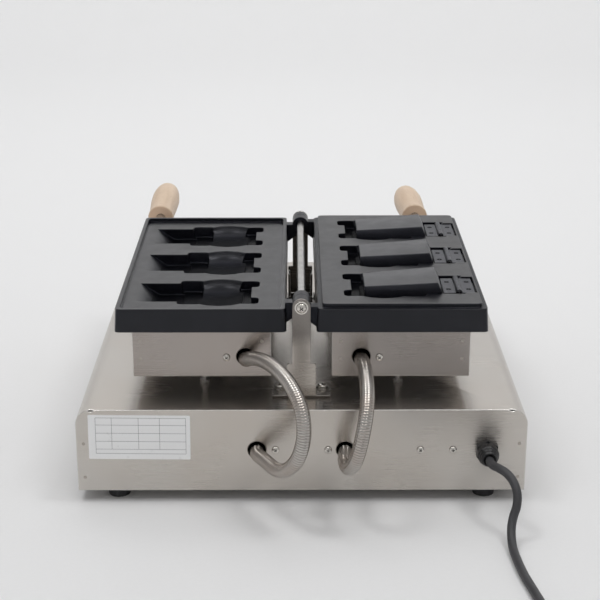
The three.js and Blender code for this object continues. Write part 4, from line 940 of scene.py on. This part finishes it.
# Sheet-metal screws
sheet_head_radius = 0.0036
panel_screws_across = (0.0248, -0.0254, -0.1137, -0.1448)
cover_screw_across = {"female": 0.072, "male": -0.075}
cover_screw_height = 0.1345
front_screws_across = (-0.196, 0.196)
front_screw_heights = (0.028, 0.08)
bottom_screws_across = (-0.13, 0, 0.13)
bottom_screws_along = (0.19, -0.239)
front_screws = [(x, front_face, z) for x in front_screws_across for z in front_screw_heights]
bottom_screws = [(x, y, panel_bottom) for x in bottom_screws_across for y in bottom_screws_along]
rear_screws = [(x, rear_face, gland_height) for x in panel_screws_across]
for name, places, way in (
    ("rear_panel_screws", rear_screws, (0, 1, 0)),
    ("front_panel_screws", front_screws, (0, -1, 0)),
    ("bottom_cover_screws", bottom_screws, (0, 0, -1)),
):
    shape = heads(pan_head, sheet_head_radius, [Vector(place) for place in places], Vector(way))
    piece(name, shape, screw_finish, "base")
for side, body in plate_bodies.items():
    pair = []
    for y, way in ((cover_rear, 1), (cover_front, -1)):
        place = Vector((cover_screw_across[side], y, cover_screw_height))
        pair.append(heads(pan_head, sheet_head_radius, [place], Vector((0, way, 0))))
    piece(f"{side}_cover_screws", together(pair), screw_finish, body)

# Hinge-leaf screws, three rows of hinges on the male plate
leaf_head_radius = 0.0026
leaf_screw_offset = 0.011
leaves_across = {"insert": -0.1435, "plate": -0.163}
for row, along in fish_rows.items():
    leaf_bodies = {"insert": f"insert_{row}", "plate": "male_plate"}
    for leaf, body in leaf_bodies.items():
        across = leaves_across[leaf]
        places = [Vector((across, along + way * leaf_screw_offset, leaf_top)) for way in (-1, 1)]
        shape = heads(flat_head, leaf_head_radius, places, Vector((0, 0, 1)))
        piece(f"{row}_{leaf}_leaf_screws", shape, leaf_screw_finish, body)

# Spot-weld marks in the sheet
spot_radius = 0.0017
spot_crest_radius = 0.0013
spot_flat_radius = 0.0009
spot_thick = 0.00002
spot_crest_thick = 0.00006
spot_profile = [
    (0, spot_thick),
    (spot_flat_radius, spot_thick),
    (spot_crest_radius, spot_crest_thick),
    (spot_radius, spot_thick),
    (spot_radius, 0),
]
spot_shape = turned(spot_profile, spot_sides)
panel_spots_across = (-0.208, 0.208)
panel_spot_heights = (0.026, 0.061)
cover_spots_across = (0.1547, 0.0378)
cover_spot_heights = (0.133, 0.151)


def spot_marks(name, places, body):
    shape = together([moved(spot_shape, aimed(Vector(place), Vector((0, 1, 0)))) for place in places])
    piece(name, shape, spot_mark, body, round_angle)


panel_spots = [(x, rear_face, z) for x in panel_spots_across for z in panel_spot_heights]
spot_marks("rear_panel_spots", panel_spots, "base")
for side, body in plate_bodies.items():
    way = 1 if side == "female" else -1
    cover_spots = [(way * x, cover_rear, z) for x in cover_spots_across for z in cover_spot_heights]
    spot_marks(f"{side}_cover_spots", cover_spots, body)

# Rating plate, left blank but for its ruled table
plate_width = 0.097
plate_height = 0.0457
plate_corner_radius = 0.0012
plate_corner_steps = 5
plate_centre = Vector((0.1545, rear_face, 0.0679))
plate_tilt = math.radians(-0.6)
film_thick = 0.00018
ruling_thick = 0.00003
ruling_width = 0.00032
plate_column_shares = (0.072, 0.230, 0.493, 0.70, 0.957)
plate_row_shares = (0.065, 0.226, 0.411, 0.596, 0.774, 0.873)
plate_matrix = (
    Matrix.Translation(plate_centre)
    @ Matrix(((-1, 0, 0, 0), (0, 0, 1, 0), (0, 1, 0, 0), (0, 0, 0, 1)))
    @ Matrix.Rotation(plate_tilt, 4, "Z")
)


def rounded_outline(width, height, radius):
    outline = []
    for corner, (sx, sy) in enumerate(((1, 1), (-1, 1), (-1, -1), (1, -1))):
        for k in range(plate_corner_steps + 1):
            turn = math.pi / 2 * (corner + k / plate_corner_steps)
            across = sx * (width / 2 - radius) + radius * math.cos(turn)
            outline.append((across, sy * (height / 2 - radius) + radius * math.sin(turn)))
    return outline


film_shape = slab(rounded_outline(plate_width, plate_height, plate_corner_radius), 0, film_thick)
piece("rating_plate_film", moved(film_shape, plate_matrix), film, "base")
left, right = plate_column_shares[0], plate_column_shares[-1]
top = plate_row_shares[0]
rules = []
for share in plate_row_shares:
    middle = ((left + right) / 2 - 0.5) * plate_width
    up = (0.5 - share) * plate_height
    rules.append(rectangle((right - left) * plate_width, ruling_width, middle, up))
for share in plate_column_shares:
    bottom = plate_row_shares[-1] if share in (left, right) else plate_row_shares[-2]
    middle = (0.5 - (top + bottom) / 2) * plate_height
    across = (share - 0.5) * plate_width
    rules.append(rectangle(ruling_width, (bottom - top) * plate_height, across, middle))
ruling_shape = together([slab(outline, film_thick, film_thick + ruling_thick) for outline in rules])
piece("rating_plate_ruling", moved(ruling_shape, plate_matrix), ruling_print, "base")

# Cable gland: ribbed dome nut with rolled rings and a seal round the lead
# Its profile gives radius, height and share of the ribs' depth
gland_ribs = 12
gland_profile = [
    (0.0094, 0.0, 0.0),
    (0.0102, 0.0004, 0.4),
    (0.0103, 0.0018, 1.0),
    (0.0103, 0.0068, 1.0),
    (0.0101, 0.0082, 0.6),
    (0.0094, 0.0092, 0.0),
    (0.0089, 0.0096, 0.0),
    (0.0092, 0.0104, 0.0),
    (0.0091, 0.0116, 0.0),
    (0.0084, 0.0126, 0.0),
    (0.0079, 0.0130, 0.0),
    (0.0082, 0.0137, 0.0),
    (0.0081, 0.0146, 0.0),
    (0.0075, 0.0156, 0.0),
    (0.0068, 0.0166, 0.0),
    (0.0060, 0.0170, 0.0),
    (0.0054, 0.0167, 0.0),
    (0.0050, 0.0158, 0.0),
    (0.0047, 0.0150, 0.0),
    (0.0044, 0.0158, 0.0),
    (0.0041, 0.0160, 0.0),
]
gland_rib_depth = 0.00055
gland_sides = 96


def ribbed_dome():
    points = []
    for radius, height, share in gland_profile:
        for k in range(gland_sides):
            turn = math.tau * k / gland_sides
            dip = gland_rib_depth * share * max(0.0, math.cos(gland_ribs * turn)) ** 3
            points.append(((radius - dip) * math.cos(turn), (radius - dip) * math.sin(turn), height))
    return points, ring_faces(len(gland_profile), gland_sides, closed=False)


gland_place = Vector((gland_across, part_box("cable_gland_cap")[0].y, gland_height))
gland = piece(
    "gland_dome_nut",
    moved(ribbed_dome(), aimed(gland_place, Vector((0, 1, 0)))),
    finishes["black_plastic"],
    "base",
    gland_angle,
)
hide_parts("cable_gland_cap")

# Dials: ticks and figures on the front panel and a line on each knob
# Each has its figures and the degrees between them
dials = {
    "thermostat": (range(0, 301, 50), 45.0),
    "timer": (range(0, 11), 30.0),
}
tick_radius = 0.0285
tick_length = 0.0035
tick_width = 0.0008
figure_radius = 0.0365
figure_size = 0.0062
print_thick = 0.00005
pointer_width = 0.0012
pointer_length = 0.012
pointer_middle = 0.0125


def front_matrix(across, up):
    """Puts a flat shape, X right and Y up as read from the front, on the front panel."""
    upright = Matrix(((1, 0, 0, 0), (0, 0, -1, 0), (0, 1, 0, 0), (0, 0, 0, 1)))
    return Matrix.Translation((across, front_face, up)) @ upright


def figure(text):
    """The shape of a printed number, centred."""
    curve = bpy.data.curves.new("figure", "FONT")
    curve.body = text
    curve.size = figure_size
    curve.align_x = "CENTER"
    curve.align_y = "CENTER"
    curve.extrude = print_thick / 2
    made = linked("figure", curve)
    mesh = bpy.data.meshes.new_from_object(made.evaluated_get(bpy.context.evaluated_depsgraph_get()))
    shape = [tuple(v.co) for v in mesh.vertices], [list(f.vertices) for f in mesh.polygons]
    bpy.data.objects.remove(made)
    bpy.data.meshes.remove(mesh)
    return shape


for name, (values, step) in dials.items():
    low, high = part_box(f"{name}_knob")
    across = (low.x + high.x) / 2
    marks = []
    for k, value in enumerate(values):
        turn = math.radians(90 - k * step)
        outward = Matrix.Translation((tick_radius + tick_length / 2, 0, 0))
        tick = slab(rectangle(tick_length, tick_width), 0, print_thick)
        marks.append(moved(tick, Matrix.Rotation(turn, 4, "Z") @ outward))
        place = (figure_radius * math.cos(turn), figure_radius * math.sin(turn), print_thick / 2)
        marks.append(moved(figure(str(value)), Matrix.Translation(place)))
    dial = moved(together(marks), front_matrix(across, control_height))
    piece(f"{name}_dial_print", dial, dark_print, "base")
    pointer = slab(rectangle(pointer_width, pointer_length, 0, pointer_middle), 0, print_thick)
    on_ridge = Matrix.Translation((0, low.y - front_face, 0)) @ front_matrix(across, control_height)
    piece(f"{name}_pointer", moved(pointer, on_ridge), white_print, f"{name}_dial")

# On and off marks on the two halves of the rocker: their places outward and upward, and each half's lean
rocker_marks = {"on": (0.003012, 0.002515, 20), "off": (0.00197, -0.003393, 0)}
bar_width = 0.0007
bar_height = 0.003
ring_inner = 0.0009
ring_outer = 0.0015
bar_mark = slab(rectangle(bar_width, bar_height), 0, print_thick)
ring_profile = [
    (ring_inner, 0),
    (ring_outer, 0),
    (ring_outer, print_thick),
    (ring_inner, print_thick),
    (ring_inner, 0),
]
ring_mark = turned(ring_profile, ring_sides)
for name, (outward, upward, lean) in rocker_marks.items():
    place = front_matrix(0, control_height + upward)
    tilt = Matrix.Rotation(math.radians(lean), 4, "X")
    spot = Matrix.Translation(place.translation - Vector((0, outward, 0)))
    matrix = spot @ tilt @ place.to_3x3().to_4x4()
    mark = bar_mark if name == "on" else ring_mark
    piece(f"rocker_{name}_mark", moved(mark, matrix), white_print, "rocker")

# Camera
camera = linked("camera", bpy.data.cameras.new("camera"))
camera.data.lens = camera_lens
camera.data.sensor_width = sensor_width
camera.location = camera_place
camera.rotation_euler = (math.radians(camera_pitch), 0, math.radians(camera_heading))
scene.camera = camera


# Floor, backdrop and light
def studio_paper():
    look = Look("studio_paper", (0.8, 0.8, 0.803), 0.85)
    tooth = look.noise(look.place(), 260.0, 3.0)
    look.set("Base Color", look.blend(look.spread(tooth, 0.3, 0.7), look.colour, (0.79, 0.79, 0.792)))
    look.set("Roughness", look.spread(tooth, 0.3, 0.7, 0.8, 0.9))
    look.bump(tooth, 0.0001, 0.2)
    return look.material


def paper_bowl():
    """Seamless paper: a level floor which curves up into a wall all round."""
    profile = [(0, 0), (paper_floor, 0)]
    for k in range(1, paper_steps + 1):
        turn = math.pi / 2 * k / paper_steps
        profile.append((paper_floor + paper_curve * math.sin(turn), paper_curve * (1 - math.cos(turn))))
    profile.append((paper_floor + paper_curve, paper_top))
    return turned(profile, paper_sides)


paper = piece("studio_paper", paper_bowl(), studio_paper(), None)

world = bpy.data.worlds.new("studio")
world.use_nodes = True
sky = world.node_tree.nodes["Background"].inputs
sky["Color"].default_value = (1, 1, 1, 1)
sky["Strength"].default_value = world_strength
scene.world = world


def softbox(name, place, target, width, height, power):
    lamp = bpy.data.lights.new(name, "AREA")
    lamp.shape = "RECTANGLE"
    lamp.size = width
    lamp.size_y = height
    lamp.energy = power
    made = linked(name, lamp)
    made.location = place
    made.rotation_euler = (Vector(target) - Vector(place)).to_track_quat("-Z", "Y").to_euler()


for box in softboxes:
    softbox(*box)

scene.view_settings.view_transform = "Standard"
